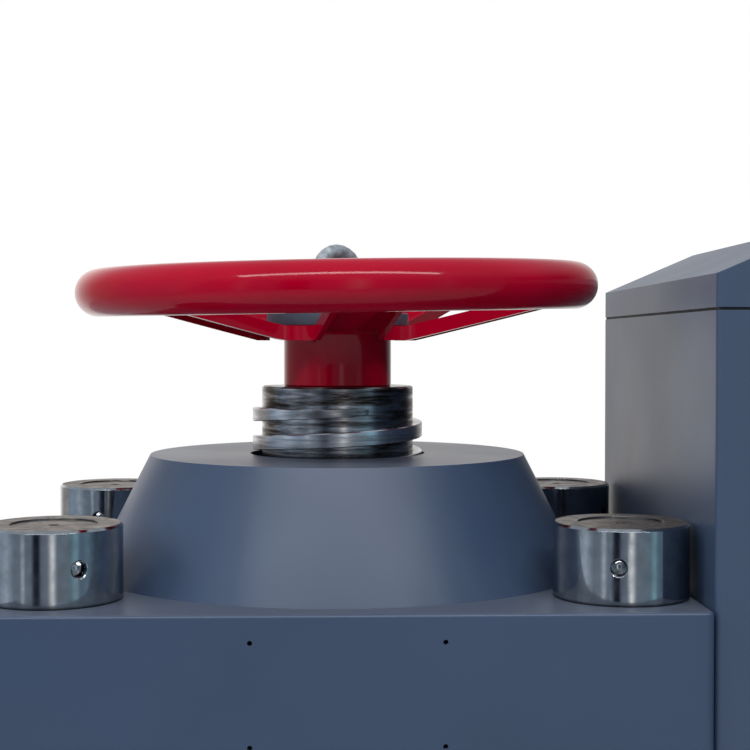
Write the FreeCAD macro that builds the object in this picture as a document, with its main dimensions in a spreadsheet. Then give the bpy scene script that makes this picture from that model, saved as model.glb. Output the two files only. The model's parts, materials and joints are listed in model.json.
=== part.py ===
import FreeCAD, Part
import Sketcher
import math
import os
import re

# Compression testing machine: four-column load frame with a hand-set screw, a hydraulic ram and a cabinet.
# The load axis is the Z axis, the floor is z = 0 and the front of the machine faces -Y.

V = FreeCAD.Vector
doc = FreeCAD.newDocument("compression_tester")
sheet = doc.addObject("Spreadsheet::Sheet", "dims")

SIZES = [
    ("cross_top", 990, "floor to crosshead top face"),
    ("cross_thick", 103, "crosshead plate thickness"),
    ("cross_wide", 483, "crosshead and base width, X"),
    ("cross_deep", 418, "crosshead and base depth, Y"),
    ("cast_round", 6, "radius of the upright edges of crosshead and base"),
    ("cast_edge", 2.5, "radius of the top edge of crosshead and base"),
    ("cone_head", 144, "radius of the conical boss at its top"),
    ("cone_high", 88, "height of the conical boss"),
    ("base_high", 300, "height of the base casting"),
    ("foot_high", 30, "thickness of the foot flange"),
    ("foot_reach", 40, "how far the foot flange stands out, front and rear"),
    ("anchor_bore", 11, "radius of a floor anchor hole"),
    ("anchor_in", 41.5, "anchor hole from the foot flange's side"),
    ("anchor_wide", "=cross_wide - 2*anchor_in", "anchor hole spacing, X"),
    ("anchor_edge", 20, "anchor hole to foot flange edge"),
    ("column_body", 37.5, "radius of a column between the castings"),
    ("column_end", 29.3, "radius of a column's threaded ends"),
    ("column_room", 0.5, "radial room of a column end in its casting"),
    ("end_sink", 1.2, "column end below its nut's face"),
    ("centre_hole", 4, "radius of the centre hole in a column end"),
    ("nut_round", 46.5, "radius of a column nut"),
    ("nut_high", 51, "height of a column nut"),
    ("column_in", 66, "column axis from the castings' front and rear faces"),
    ("nut_in", 2, "column nuts inside the crosshead's sides"),
    ("column_wide", "=cross_wide - 2*(nut_round + nut_in)", "column spacing, X"),
    ("column_deep", "=cross_deep - 2*column_in", "column spacing, Y"),
    ("cone_gap", 4.704, "gap between the boss's foot and a column nut"),
    ("cone_foot", "=sqrt(column_wide^2 + column_deep^2)/2 - nut_round - cone_gap",
     "radius of the conical boss at the crosshead face"),
    ("nut_bevel", 1.7, "chamfer of a column nut"),
    ("tommy_bore", 5.5, "radius of a tommy-bar hole"),
    ("tommy_sink", 0.8, "countersink of a tommy-bar hole"),
    ("tommy_deep", 11, "depth of a tommy-bar hole to its drill point"),
    ("base_nut", 39, "radius of a column nut under the base"),
    ("recess_room", 2, "radial room round a lower column nut"),
    ("recess_deep", 62, "depth of a lower nut recess"),
    ("plate_wide", 125, "name plate hole spacing, X"),
    ("plate_high", 67, "name plate hole spacing, Z"),
    ("plate_shift", 5, "name plate centre from the load axis"),
    ("plate_bore", 1.65, "radius of a name plate hole"),
    ("plate_deep", 12, "depth of a name plate hole"),
    ("barrel_round", 170, "outer radius of the cylinder"),
    ("barrel_low", 55, "cylinder underside above the floor"),
    ("barrel_floor", 45, "thickness of the cylinder's floor"),
    ("barrel_room", 1, "radial room round the cylinder"),
    ("ram_bore", 125, "bore radius of the cylinder"),
    ("ram_fit", 0.05, "radial clearance of the ram"),
    ("ram_rise", 12, "ram top above the base casting at rest"),
    ("rest_gap", 0.3, "gap at faces of parts that move on each other"),
    ("gland_high", 14, "thickness of the gland ring"),
    ("gland_room", 0.8, "radial room of the gland ring round the ram"),
    ("seal_deep", 7, "radial depth of the ram seal"),
    ("seal_high", 14, "height of the ram seal"),
    ("seal_low", 20, "seal above the ram's underside"),
    ("spigot_round", 40, "radius of the ram's spigot"),
    ("spigot_high", 8, "height of the ram's spigot"),
    ("platen_round", 150, "radius of both platens"),
    ("lower_thick", 48, "thickness of the lower platen"),
    ("upper_thick", 42, "thickness of the upper platen's rim"),
    ("platen_bevel", 2, "chamfer of the platens"),
    ("daylight", 180, "gap between the platens at rest"),
    ("ball_round", 105, "radius of the upper platen's ball"),
    ("ball_gap", 0.15, "oil gap at each ball face"),
    ("liner_thick", 4, "thickness of the ball liner"),
    ("liner_lift", 12, "liner rim above the platen's rim"),
    ("liner_hole", 12, "radius of the liner's oil hole"),
    ("flange_lift", 10, "seat block's flange above the platen's rim"),
    ("flange_round", 122, "radius of the seat block's flange"),
    ("flange_high", 12, "height of the flange's upright edge"),
    ("seat_body", 100, "radius of the seat block's body"),
    ("seat_high", 108, "height of the seat block"),
    ("keeper_round", 146, "radius of the platen keeper ring"),
    ("keeper_room", 7, "radial room in the keeper ring"),
    ("keeper_gap", 0.6, "gap between keeper ring and flange"),
    ("keeper_high", 40, "height of the keeper ring"),
    ("keeper_pcd", 136, "radius of the keeper screw circle"),
    ("pocket_deep", 32, "depth of the seat block's pocket"),
    ("button_round", 60, "radius of the screw's end button"),
    ("pad_thick", 10, "thickness of the thrust pad"),
    ("neck_round", 46, "radius of the screw's neck"),
    ("cap_thick", 14, "thickness of the seat cap"),
    ("cap_round", 97, "radius of the seat cap"),
    ("cap_pcd", 80, "radius of the seat cap screw circle"),
    ("neck_over", 26, "neck above the button"),
    ("screw_root", 58.4, "root radius of the screw thread"),
    ("screw_crest", 65.6, "crest radius of the screw thread"),
    ("pitch", 22, "thread pitch"),
    ("ridge", 11, "thread ridge height along the axis"),
    ("ridge_front", 96, "ridge underside at the front, above the crosshead"),
    ("thread_top", 124, "thread end above the crosshead"),
    ("thread_low", 225, "thread start below the crosshead top"),
    ("screw_top", 140, "screw end above the crosshead"),
    ("root_room", 0.8, "radial clearance at the thread root"),
    ("crest_room", 1.2, "radial clearance at the thread crest"),
    ("side_room", 0.6, "axial clearance each side of a ridge"),
    ("sleeve_round", 85, "outer radius of the screw nut"),
    ("sleeve_high", 110, "screw nut above its flange"),
    ("sleeve_flange", 110, "radius of the screw nut's flange"),
    ("sleeve_thick", 22, "thickness of the screw nut's flange"),
    ("sleeve_pcd", 97, "radius of the nut screw circle"),
    ("throat", 67.5, "radius of the boss's hole above the nut"),
    ("hub_round", 41.5, "radius of the wheel hub"),
    ("hub_high", 42, "height of the wheel hub"),
    ("dish_flat", 62, "radius of the spider's flat centre"),
    ("dish_skin", 4, "sheet thickness of the spider"),
    ("dish_deep", 11, "depth of the spider's flanges"),
    ("dish_rise", 28, "rise of the spider from centre to rim"),
    ("dish_reach", 174, "radius of the spider's arms"),
    ("arm_wide", 50, "width of a spider arm"),
    ("arm_count", 5, "number of spider arms"),
    ("window_round", 22, "inner radius of a window between arms"),
    ("rim_tube", 17.7, "tube radius of the wheel rim"),
    ("wheel_round", 200, "outer radius of the hand wheel"),
    ("rim_lift", 74.3, "rim centre above the screw's end"),
    ("rim_lean", 1.6, "lean of the welded rim, in degrees"),
    ("weld_gap", 0.05, "gap at the rim weld"),
    ("clamp_round", 55, "radius of the clamp plate"),
    ("clamp_thick", 10, "thickness of the clamp plate"),
    ("eye_collar", 15, "radius of the eyebolt's collar"),
    ("eye_ring", 20.5, "ring radius of the eyebolt, to its wire centre"),
    ("eye_wire", 6, "wire radius of the eyebolt"),
    ("eye_high", 53.6, "height of the eyebolt above the clamp plate"),
    ("eye_shank", 6, "radius of the eyebolt's shank"),
    ("eye_long", 80, "length of the eyebolt's shank"),
    ("eye_turn", 44, "angle of the eyebolt's ring from side-on"),
    ("pin_round", 5, "radius of a drive pin"),
    ("pin_pcd", 28, "drive pin from the screw axis"),
    ("pin_long", 44, "length of a drive pin"),
    ("case_gap", 1, "gap between crosshead and cabinet"),
    ("case_left", "=cross_wide/2 + case_gap", "cabinet's left face from the load axis"),
    ("case_wide", 420, "cabinet width"),
    ("case_front", -204, "cabinet front face"),
    ("case_deep", 381, "cabinet depth"),
    ("case_low", 15, "cabinet underside above the floor"),
    ("case_over", 194.3, "cabinet body top above the crosshead"),
    ("sheet_thick", 2, "cabinet sheet thickness"),
    ("case_round", 4, "radius of the cabinet's upright edges"),
    ("border", 28, "border round the cabinet's openings"),
    ("seam", 1.9, "gap under the lid"),
    ("seam_inset", 1.2, "gasket behind the cabinet's face"),
    ("seam_wide", 12, "width of the gasket"),
    ("lid_edge", 22, "height of the lid's upright edge"),
    ("lid_run", 80, "width of the lid's slopes"),
    ("lid_rise", 34.3, "rise of the lid's slopes"),
    ("door_low", 70, "door opening's lower edge above the floor"),
    ("door_high", 690, "height of the door opening"),
    ("door_gap", 2, "gap round the door"),
    ("door_fold", 16, "depth of the door's folded edge"),
    ("panel_low", 790, "instrument panel opening above the floor"),
    ("panel_high", 350, "height of the instrument panel opening"),
    ("panel_side", 34, "instrument panel opening from the cabinet's sides"),
    ("panel_lap", 8, "overlap of the instrument panel"),
    ("panel_thick", 2, "instrument panel thickness"),
    ("tank_low", 100, "oil tank above the floor"),
    ("tank_high", 230, "oil tank height"),
    ("tank_side", 25, "oil tank from the cabinet's sides"),
    ("tank_in", 94, "oil tank behind the cabinet's front face"),
    ("tank_behind", 37, "oil tank in front of the cabinet's rear face"),
    ("tank_wide", "=case_wide - 2*tank_side", "oil tank width"),
    ("tank_deep", "=case_deep - tank_in - tank_behind", "oil tank depth"),
    ("tank_front", "=case_front + tank_in", "oil tank front face"),
    ("cover_thick", 6, "tank cover thickness"),
    ("motor_round", 72, "motor radius"),
    ("motor_high", 210, "motor height"),
    ("motor_from", 80, "motor axis from the cabinet's middle"),
    ("motor_at", "=tank_front + tank_deep/2", "motor axis, Y"),
    ("pipe_round", 6, "oil pipe radius"),
    ("pipe_bend", 28, "oil pipe bend radius"),
    ("port_high", 80, "cylinder port above the floor"),
    ("knob_round", 32, "valve knob radius"),
    ("knob_high", 868, "valve knobs above the floor"),
    ("knob_apart", 130, "distance between the valve knobs"),
    ("stem_round", 8, "valve stem radius"),
    ("push_round", 11, "push button radius"),
    ("push_out", 7, "push button in front of its collar"),
    ("stop_round", 20, "emergency stop radius"),
    ("dial_round", 16, "main switch radius"),
    ("run_fit", 0.06, "radial clearance of stems and pins that turn"),
    ("thread_gap", 0.1, "radial gap of nuts and screws on their threads"),
    ("hole_room", 0.4, "radial room of a screw in a plain hole"),
    ("tommy_count", 4, "tommy-bar holes in a column nut"),
    ("oil_way", 5, "radius of the cylinder's oil way"),
    ("gland_pcd", 148, "radius of the gland screw circle"),
    ("gland_screws", 8, "number of gland screws"),
    ("gland_shank", 5, "radius of a gland screw"),
    ("gland_head", 8, "radius and height of a gland screw's head"),
    ("gland_screw_deep", 34, "length of a gland screw"),
    ("nut_screws", 8, "number of screws in the screw nut's flange"),
    ("nut_shank", 6, "radius of a nut flange screw"),
    ("nut_head", 9, "radius and height of a nut flange screw's head"),
    ("nut_screw_deep", 25, "nut flange screw's depth in the crosshead"),
    ("keeper_screws", 8, "number of keeper ring screws"),
    ("keeper_shank", 4, "radius of a keeper screw"),
    ("keeper_head", 6.5, "radius and height of a keeper screw's head"),
    ("keeper_screw_deep", 18, "keeper screw's depth in the platen"),
    ("cap_screws", 6, "number of seat cap screws"),
    ("cap_shank", 4, "radius of a seat cap screw"),
    ("cap_head", 6.5, "radius and height of a seat cap screw's head"),
    ("cap_screw_deep", 30, "length of a seat cap screw"),
    ("cap_slot", 1, "gap between the halves of the seat cap"),
    ("pocket_room", 2, "radial room round the end button"),
    ("tie_high", 250, "cabinet ties above the floor"),
    ("tie_apart", 140, "distance between the cabinet ties"),
    ("tie_shank", 5, "radius of a tie bolt"),
    ("tie_head", 8.5, "radius of a tie bolt's head"),
    ("tie_deep", 25, "tie bolt's depth in the base casting"),
    ("tie_ring", 14, "radius of a tie's spacer"),
    ("port_deep", 8, "depth of the cylinder port's socket"),
    ("thread_steps", 24, "facets in one turn of the thread"),
    ("collar_high", 8, "height of the eyebolt's collar"),
    ("clamp_edge", 1, "chamfer of the clamp plate"),
    ("rear_low", 110, "rear opening's lower edge above the floor"),
    ("rear_high", 1020, "height of the rear opening"),
    ("rear_lap", 8, "overlap of the rear plate"),
    ("louvre_wide", 130, "length of a louvre slot"),
    ("louvre_high", 7, "height of a louvre slot"),
    ("louvre_step", 24, "distance between louvre slots"),
    ("louvre_low", 160, "lowest louvre slot above the floor"),
    ("cable_high", 62, "mains gland above the floor"),
    ("cable_in", 70, "mains gland from the cabinet's right face"),
    ("cable_bore", 6, "cable hole radius of the mains gland"),
    ("cable_round", 10, "thread radius of the mains gland"),
    ("cable_nut", 15, "nut radius of the mains gland"),
    ("leg_in", 26, "cabinet foot from the cabinet's faces"),
    ("leg_round", 22, "radius of a cabinet foot"),
    ("leg_stud", 6, "radius of a cabinet foot's stud"),
    ("glass_wide", 184, "display window width"),
    ("glass_high", 84, "display window height"),
    ("bezel_edge", 18, "width of the display frame"),
    ("bezel_out", 10, "display frame in front of the panel"),
    ("screen_high", 1072, "display centre above the floor"),
    ("screen_sink", 8, "depth of the display window"),
    ("screen_case", 34, "depth of the display case behind the panel"),
    ("glass_thick", 3, "thickness of the display glass"),
    ("pad_wide", 150, "keypad width"),
    ("pad_high", 64, "keypad height"),
    ("pad_left", 136, "keypad's left edge from the cabinet's middle"),
    ("pad_low", 918, "keypad's lower edge above the floor"),
    ("pad_out", 3, "keypad in front of the panel"),
    ("key_wide", 24, "key width"),
    ("key_high", 20, "key height"),
    ("key_out", 2, "key in front of the keypad"),
    ("push_from", 54, "push buttons from the cabinet's middle"),
    ("push_high", 972, "start button above the floor"),
    ("push_apart", 44, "distance between start and stop buttons"),
    ("collar_round", 15, "radius of a push button's collar"),
    ("collar_out", 4, "push button's collar in front of the panel"),
    ("guard_round", 27, "radius of the emergency stop's collar"),
    ("stop_from", 76, "emergency stop from the cabinet's right face"),
    ("stop_high", 950, "emergency stop above the floor"),
    ("stop_out", 24, "emergency stop in front of the panel"),
    ("stop_thick", 13, "thickness of the emergency stop's head"),
    ("dial_from", 60, "main switch from the cabinet's right face"),
    ("dial_out", 12, "main switch in front of its plate"),
    ("dial_plate", 52, "main switch plate, width and height"),
    ("grip_long", 46, "length of the main switch's grip"),
    ("grip_wide", 9, "width of a grip"),
    ("lock_gap", 0.3, "gap behind the panel at the flanges of buttons and shafts"),
    ("lock_round", 13, "radius of a button's rear flange"),
    ("lock_thick", 2, "thickness of a rear flange"),
    ("shaft_round", 5, "radius of the switch and latch shafts"),
    ("knob_long", 30, "length of a valve knob"),
    ("knob_gap", 1.5, "gap between knob and panel"),
    ("knob_flutes", 9, "flutes of a valve knob"),
    ("flute_round", 7, "radius of a flute"),
    ("flute_at", 36, "flute centre from the knob's axis"),
    ("block_wide", 202, "valve block width"),
    ("block_deep", 74, "valve block depth"),
    ("block_high", 60, "valve block height"),
    ("bore_deep", 54, "depth of the valve block's stem bores"),
    ("block_screw", 20, "valve block screws above and below its middle"),
    ("sensor_round", 13, "radius of the pressure sensor"),
    ("sensor_high", 62, "height of the pressure sensor"),
    ("sensor_stud", 7, "radius of the pressure sensor's stud"),
    ("pipe_high", 868, "oil pipes into the valve block, above the floor"),
    ("pipe_back", -72, "oil pipes through the tank cover, Y"),
    ("feed_from", 62.5, "pressure pipe right of the cabinet's middle"),
    ("drain_from", -32.5, "return pipe right of the cabinet's middle"),
    ("ram_pipe_from", -77.5, "cylinder pipe right of the cabinet's middle"),
    ("ram_pipe_front", -165, "cylinder pipe, Y"),
    ("tank_wall", 3, "wall of the oil tank"),
    ("tank_leg", 30, "width of a tank leg"),
    ("cover_lap", 6, "tank cover beyond the tank"),
    ("pump_round", 50, "radius of the oil pump"),
    ("pump_long", 130, "oil pump below the tank cover"),
    ("pump_flange", 64, "radius of the oil pump's flange"),
    ("pump_thick", 10, "thickness of the oil pump's flange"),
    ("outlet_wide", 26, "width of the oil pump's outlet arm"),
    ("filler_from", 37, "filler cap from the tank's left side"),
    ("filler_back", 45, "filler cap in front of the tank's rear side"),
    ("filler_round", 22, "radius of the filler cap"),
    ("filler_high", 20, "height of the filler cap"),
    ("filler_neck", 16, "radius of the filler cap's neck"),
    ("switch_deep", 72, "depth of the switchgear box"),
    ("switch_wide", 200, "width of the switchgear box"),
    ("switch_high", 300, "height of the switchgear box"),
    ("switch_low", 600, "switchgear box above the floor"),
    ("switch_front", -60, "switchgear box's front side, Y"),
    ("hinge_out", 7, "hinge axis in front of the cabinet"),
    ("hinge_in", 26.5, "hinge axis from the cabinet's right face"),
    ("hinge_round", 6, "radius of a hinge knuckle"),
    ("hinge_pin", 3, "radius of a hinge pin"),
    ("hinge_long", 30, "length of a hinge knuckle"),
    ("hinge_leaf", 18, "hinge leaf from the hinge axis"),
    ("hinge_top", 650, "upper hinge above the floor"),
    ("hinge_apart", 470, "distance between the hinges"),
    ("latch_from", 49.5, "latch from the cabinet's left face"),
    ("latch_high", 415, "latch above the floor"),
    ("latch_round", 15, "radius of the latch knob"),
    ("latch_out", 9, "length of the latch knob"),
    ("cam_long", 34, "reach of the latch cam"),
    ("cam_wide", 14, "width of the latch cam"),
    ("cam_thick", 3, "thickness of the latch cam"),
    ("cam_gap", 0.6, "gap between latch cam and sheet"),
    ("bolt_shank", 2, "radius of a cabinet screw"),
    ("bolt_head", 3.6, "radius of a cabinet screw's head"),
    ("bolt_out", 2.4, "height of a cabinet screw's head"),
    ("bolt_long", 9, "length of a cabinet screw"),
]

NUT_TURNS = (-59, -103, -99, -35)   # the four nuts stop at different angles: front pair, then rear pair
LEAN_AXIS = V(6, -5, 0)   # the welded rim is low at the front left and high at the rear right
ARM_TURN = -10   # the front arm stands a little to the right of the front
LOUVRES = 5   # slots in each column of the rear plate
KEYS = (4, 2)   # columns and rows of keys

for row, (alias, value, note) in enumerate(SIZES, start=1):
    sheet.set(f"A{row}", alias)
    sheet.set(f"B{row}", str(value))
    sheet.setAlias(f"B{row}", alias)
    sheet.set(f"C{row}", note)
doc.recompute()
ALIASES = {alias for alias, _, _ in SIZES}

nodes = []
PLANES = {"flat": "XY_Plane", "front": "XZ_Plane", "side": "YZ_Plane"}
INWARD = (V(1, 0, 0), -90)   # turns a piece's own +Z into +Y, so that it faces the front


def bind(text):
    return re.sub(r"[a-z_]+", lambda m: "dims." + m.group() if m.group() in ALIASES else m.group(), text)


def val(text):
    return float(sheet.evalExpression(bind(text)))


def drive(obj, **links):
    for path, text in links.items():
        obj.setExpression(path.replace("__", "."), bind(text))


def place(obj, x="0", y="0", z="0", turn=None):
    if turn is not None:
        by_size = len(turn) == 2 and isinstance(turn[1], str)
        rotation = FreeCAD.Rotation(turn[0], 1) if by_size else FreeCAD.Rotation(*turn)
        obj.Placement = FreeCAD.Placement(V(0, 0, 0), rotation)
        if by_size:
            drive(obj, Placement__Rotation__Angle=turn[1])
    drive(obj, Placement__Base__x=x, Placement__Base__y=y, Placement__Base__z=z)
    return obj


def keep(obj, label):
    obj.Label = label
    nodes.append(obj)
    return obj


def body(name):
    return doc.addObject("PartDesign::Body", name)


def datum(owner, role):
    return [f for f in owner.Origin.OriginFeatures if f.Role == role][0]


def dimension(sk, kind, point, text):
    n = sk.addConstraint(Sketcher.Constraint(kind, -1, 1, *point, val(text)))
    sk.setExpression(f"Constraints[{n}]", bind(text))


def radius(sk, edge, text):
    n = sk.addConstraint(Sketcher.Constraint("Radius", edge, val(text)))
    sk.setExpression(f"Constraints[{n}]", bind(text))


# A loop is a list of corners (x, y), where ("arc", centre x, centre y, radius, way) bends the edge that
# follows the corner before it, or one ("circle", x, y, radius)
def sketch(owner, *loops, plane="front", lift="0", axis=None):
    sk = owner.newObject("Sketcher::SketchObject", owner.Name + "_sketch")
    sk.AttachmentSupport = [(datum(owner, PLANES[plane]), "")]
    sk.MapMode = "FlatFace"
    drive(sk, AttachmentOffset__Base__z=lift)
    for loop in loops:
        if loop[0] == "circle":
            _, x, y, r = loop
            edge = sk.addGeometry(Part.Circle(V(val(x), val(y), 0), V(0, 0, 1), val(r)), False)
            dimension(sk, "DistanceX", (edge, 3), x)
            dimension(sk, "DistanceY", (edge, 3), y)
            radius(sk, edge, r)
            continue
        corners, bends = [], {}
        for item in loop:
            if item[0] == "arc":
                bends[len(corners) - 1] = item
            else:
                corners.append(item)
        points = [V(val(x), val(y), 0) for x, y in corners]
        edges = []
        for i, start in enumerate(points):
            end = points[(i + 1) % len(points)]
            if i not in bends:
                edges.append((sk.addGeometry(Part.LineSegment(start, end), False), 1, 2))
                continue
            _, x, y, r, way = bends[i]
            centre = V(val(x), val(y), 0)
            low, high = [math.atan2(p.y - centre.y, p.x - centre.x) for p in (start, end)][::way]
            arc = Part.ArcOfCircle(Part.Circle(centre, V(0, 0, 1), val(r)), low, high)
            edge = sk.addGeometry(arc, False)
            radius(sk, edge, r)
            edges.append((edge, 1, 2) if way > 0 else (edge, 2, 1))
        for i, (edge, start, end) in enumerate(edges):
            following = edges[(i + 1) % len(edges)]
            sk.addConstraint(Sketcher.Constraint("Coincident", edge, end, *following[:2]))
            dimension(sk, "DistanceX", (edge, start), corners[i][0])
            dimension(sk, "DistanceY", (edge, start), corners[i][1])
    if axis is not None:
        (x, y), (ex, ey) = axis
        line = sk.addGeometry(Part.LineSegment(V(val(x), val(y), 0), V(val(ex), val(ey), 0)), True)
        for point, (px, py) in ((1, (x, y)), (2, (ex, ey))):
            dimension(sk, "DistanceX", (line, point), px)
            dimension(sk, "DistanceY", (line, point), py)
    return sk


def feature(owner, kind, profile, **links):
    made = owner.newObject("PartDesign::" + kind, owner.Name + "_" + kind.lower())
    made.Profile = profile
    drive(made, **links)
    return made


def pad(owner, profile, length, backwards=False):
    made = feature(owner, "Pad", profile, Length=length)
    made.Reversed = backwards
    return made


def pocket(owner, profile, length=None):
    made = feature(owner, "Pocket", profile, **({"Length": length} if length else {}))
    if length is None:
        made.Type = "ThroughAll"
        made.Midplane = True
    return made


def turned(owner, profile, cut=False, axis="V_Axis"):
    made = feature(owner, "Groove" if cut else "Revolution", profile)
    made.ReferenceAxis = (profile, [axis])
    made.Angle = 360
    return made


def ring_of(owner, made, count, angle=360):
    pattern = owner.newObject("PartDesign::PolarPattern", owner.Name + "_ring")
    pattern.Originals = [made]
    pattern.Axis = (datum(owner, "Z_Axis"), [""])
    pattern.Angle = angle
    pattern.Occurrences = int(val(count))
    drive(pattern, Occurrences=count)
    owner.Tip = pattern
    return pattern


def rounded(owner, base, wanted, size, kind="Fillet"):
    doc.recompute()
    edges = [f"Edge{i}" for i, e in enumerate(base.Shape.Edges, start=1) if wanted(e)]
    made = owner.newObject("PartDesign::" + kind, owner.Name + "_" + kind.lower())
    made.Base = (base, edges)
    drive(made, **{"Radius" if kind == "Fillet" else "Size": size})
    return made


def upright(edge):
    ends = [v.Point for v in edge.Vertexes]
    return len(ends) == 2 and abs(ends[0].x - ends[1].x) < 0.01 and abs(ends[0].y - ends[1].y) < 0.01


def at_height(text):
    level = val(text)
    return lambda edge: edge.BoundBox.ZMax < level + 0.01 and edge.BoundBox.ZMin > level - 0.01


def primitive(kind, **links):
    made = doc.addObject("Part::" + kind, kind.lower())
    drive(made, **links)
    return made


def block(x, y, z, wide, deep, high):
    return place(primitive("Box", Length=wide, Width=deep, Height=high), x, y, z)


def rod(x, y, z, r, long, turn=None):
    return place(primitive("Cylinder", Radius=r, Height=long), x, y, z, turn)


def cut(base, *tools):
    made = doc.addObject("Part::Cut", "cut")
    made.Base = base
    made.Tool = tools[0] if len(tools) == 1 else join(*tools)
    return made


def join(*pieces):
    made = doc.addObject("Part::MultiFuse", "join")
    made.Shapes = list(pieces)
    return made


def group(*pieces):
    made = doc.addObject("Part::Compound", "group")
    made.Links = list(pieces)
    return made


def rectangle(x, y, ex, ey):
    return [(x, y), (ex, y), (ex, ey), (x, ey)]


def four(make, x, y):
    return [make(f"{sx}*({x})", f"{sy}*({y})") for sx in (-1, 1) for sy in (-1, 1)]


# A screw with its head at the level `seat`, the shank below it or, with way -1, above it
def screws(name, at, count, seat, head, head_high, shank, long, way=1):
    made = body(name)
    reach = lambda size: f"{seat} + {way}*({size})"
    tip, crown = reach(f"-({long})"), reach(head_high)
    corners = [(at, tip), (f"{at} + {shank}", tip), (f"{at} + {shank}", seat), (f"{at} + {head}", seat),
               (f"{at} + {head}", crown), (at, crown)]
    profile = sketch(made, corners if way > 0 else corners[::-1], axis=((at, tip), (at, crown)))
    ring_of(made, turned(made, profile, axis="Axis0"), count)
    return made


def holes(owner, at, count, level, r, deep, below=True):
    circle = ("circle", at, "0", r)
    lift = level if below else f"{level} + {deep}"
    ring_of(owner, pocket(owner, sketch(owner, circle, plane="flat", lift=lift), deep), count)


# Levels and places that follow from the sizes
cross_low = "(cross_top - cross_thick)"
ram_low = "(barrel_low + barrel_floor + rest_gap)"
ram_top = "(base_high + ram_rise)"
lower_top = f"({ram_top} + lower_thick)"
ball_at = f"({lower_top} + daylight)"
rim_top = f"({ball_at} + upper_thick)"
seat_low = f"({rim_top} + flange_lift)"
seat_top = f"({seat_low} + seat_high)"
pocket_low = f"({seat_top} - pocket_deep)"
screw_end = "(cross_top + screw_top)"
dish_top = f"({screw_end} + hub_high + dish_skin)"
clamp_top = f"({dish_top} + clamp_thick)"
case_right = "(case_left + case_wide)"
panel_mid = "(case_left + case_wide/2)"
case_rear = "(case_front + case_deep)"
case_top = "(cross_top + case_over)"
panel_face = "(case_front - panel_thick)"
tank_left = "(case_left + tank_side)"
tank_top = "(tank_low + tank_high)"
motor_x = f"({panel_mid} + motor_from)"
feed_x, drain_x = f"({panel_mid} + feed_from)", f"({panel_mid} + drain_from)"
ram_pipe_x = f"({panel_mid} + ram_pipe_from)"
filler_x, filler_y = f"({tank_left} + filler_from)", "(tank_front + tank_deep - filler_back)"


# Base casting with its round well for the cylinder, column holes and anchor flange
def base_casting():
    made = body("base_casting")
    half_w, half_d = "cross_wide/2", "cross_deep/2"
    outline = rectangle(f"-{half_w}", f"-{half_d}", half_w, half_d)
    block_up = pad(made, sketch(made, outline, plane="flat"), "base_high")
    edges = rounded(made, block_up, upright, "cast_round")
    edges = rounded(made, edges, at_height("base_high"), "cast_edge")
    reach = f"({half_d} + foot_reach)"
    pad(made, sketch(made, rectangle(f"-{half_w}", f"-{reach}", half_w, reach), plane="flat"), "foot_high")
    well = "(barrel_round + barrel_room)"
    turned(made, sketch(made, rectangle("0", "barrel_low", well, "base_high + 1")), cut=True)
    spots = four(lambda x, y: ("circle", x, y, "column_end + column_room"), "column_wide/2", "column_deep/2")
    pocket(made, sketch(made, *spots, plane="flat"))
    spots = four(lambda x, y: ("circle", x, y, "base_nut + recess_room"), "column_wide/2", "column_deep/2")
    pocket(made, sketch(made, *spots, plane="flat", lift="recess_deep"), "recess_deep")
    spots = four(lambda x, y: ("circle", x, y, "anchor_bore"), "anchor_wide/2", f"{reach} - anchor_edge")
    pocket(made, sketch(made, *spots, plane="flat", lift="foot_high"), "foot_high")
    wall = f"{half_w} - barrel_round"
    port = ("circle", "0", "port_high", "pipe_round + column_room")
    pocket(made, sketch(made, port, plane="side", lift=half_w), wall)
    spots = [("circle", y, "tie_high", "tie_shank + thread_gap") for y in ("tie_apart/2", "-tie_apart/2")]
    pocket(made, sketch(made, *spots, plane="side", lift=half_w), "tie_deep + 2")
    keep(made, "base_casting")


# Crosshead: a plate with a conical boss, bored for the screw nut from below and clear of the screw above it
def crosshead():
    made = body("crosshead")
    half_w, half_d = "cross_wide/2", "cross_deep/2"
    outline = rectangle(f"-{half_w}", f"-{half_d}", half_w, half_d)
    plate = pad(made, sketch(made, outline, plane="flat", lift=cross_low), "cross_thick")
    edges = rounded(made, plate, upright, "cast_round")
    edges = rounded(made, edges, at_height("cross_top"), "cast_edge")
    cone = [("0", cross_low), ("cone_foot", cross_low), ("cone_foot", "cross_top"),
            ("cone_head", "cross_top + cone_high"), ("0", "cross_top + cone_high")]
    turned(made, sketch(made, cone))
    sleeve_top = f"{cross_low} + sleeve_high"
    sleeve = "sleeve_round + thread_gap"
    bore = [("0", f"{cross_low} - 1"), (sleeve, f"{cross_low} - 1"), (sleeve, sleeve_top),
            ("throat", sleeve_top), ("throat", "cross_top + cone_high + 1"),
            ("0", "cross_top + cone_high + 1")]
    turned(made, sketch(made, bore), cut=True)
    spots = four(lambda x, y: ("circle", x, y, "column_end + column_room"), "column_wide/2", "column_deep/2")
    pocket(made, sketch(made, *spots, plane="flat", lift="cross_top"))
    middle = "cross_top - cross_thick/2"
    spots = [("circle", f"plate_shift + {sx}*plate_wide/2", f"{middle} + {sz}*plate_high/2", "plate_bore")
             for sx in (-1, 1) for sz in (-1, 1)]
    pocket(made, sketch(made, *spots, lift=half_d), "plate_deep")
    holes(made, "sleeve_pcd", "nut_screws", cross_low, "nut_shank + thread_gap", "nut_screw_deep + 3",
          below=False)
    keep(made, "crosshead")


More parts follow.
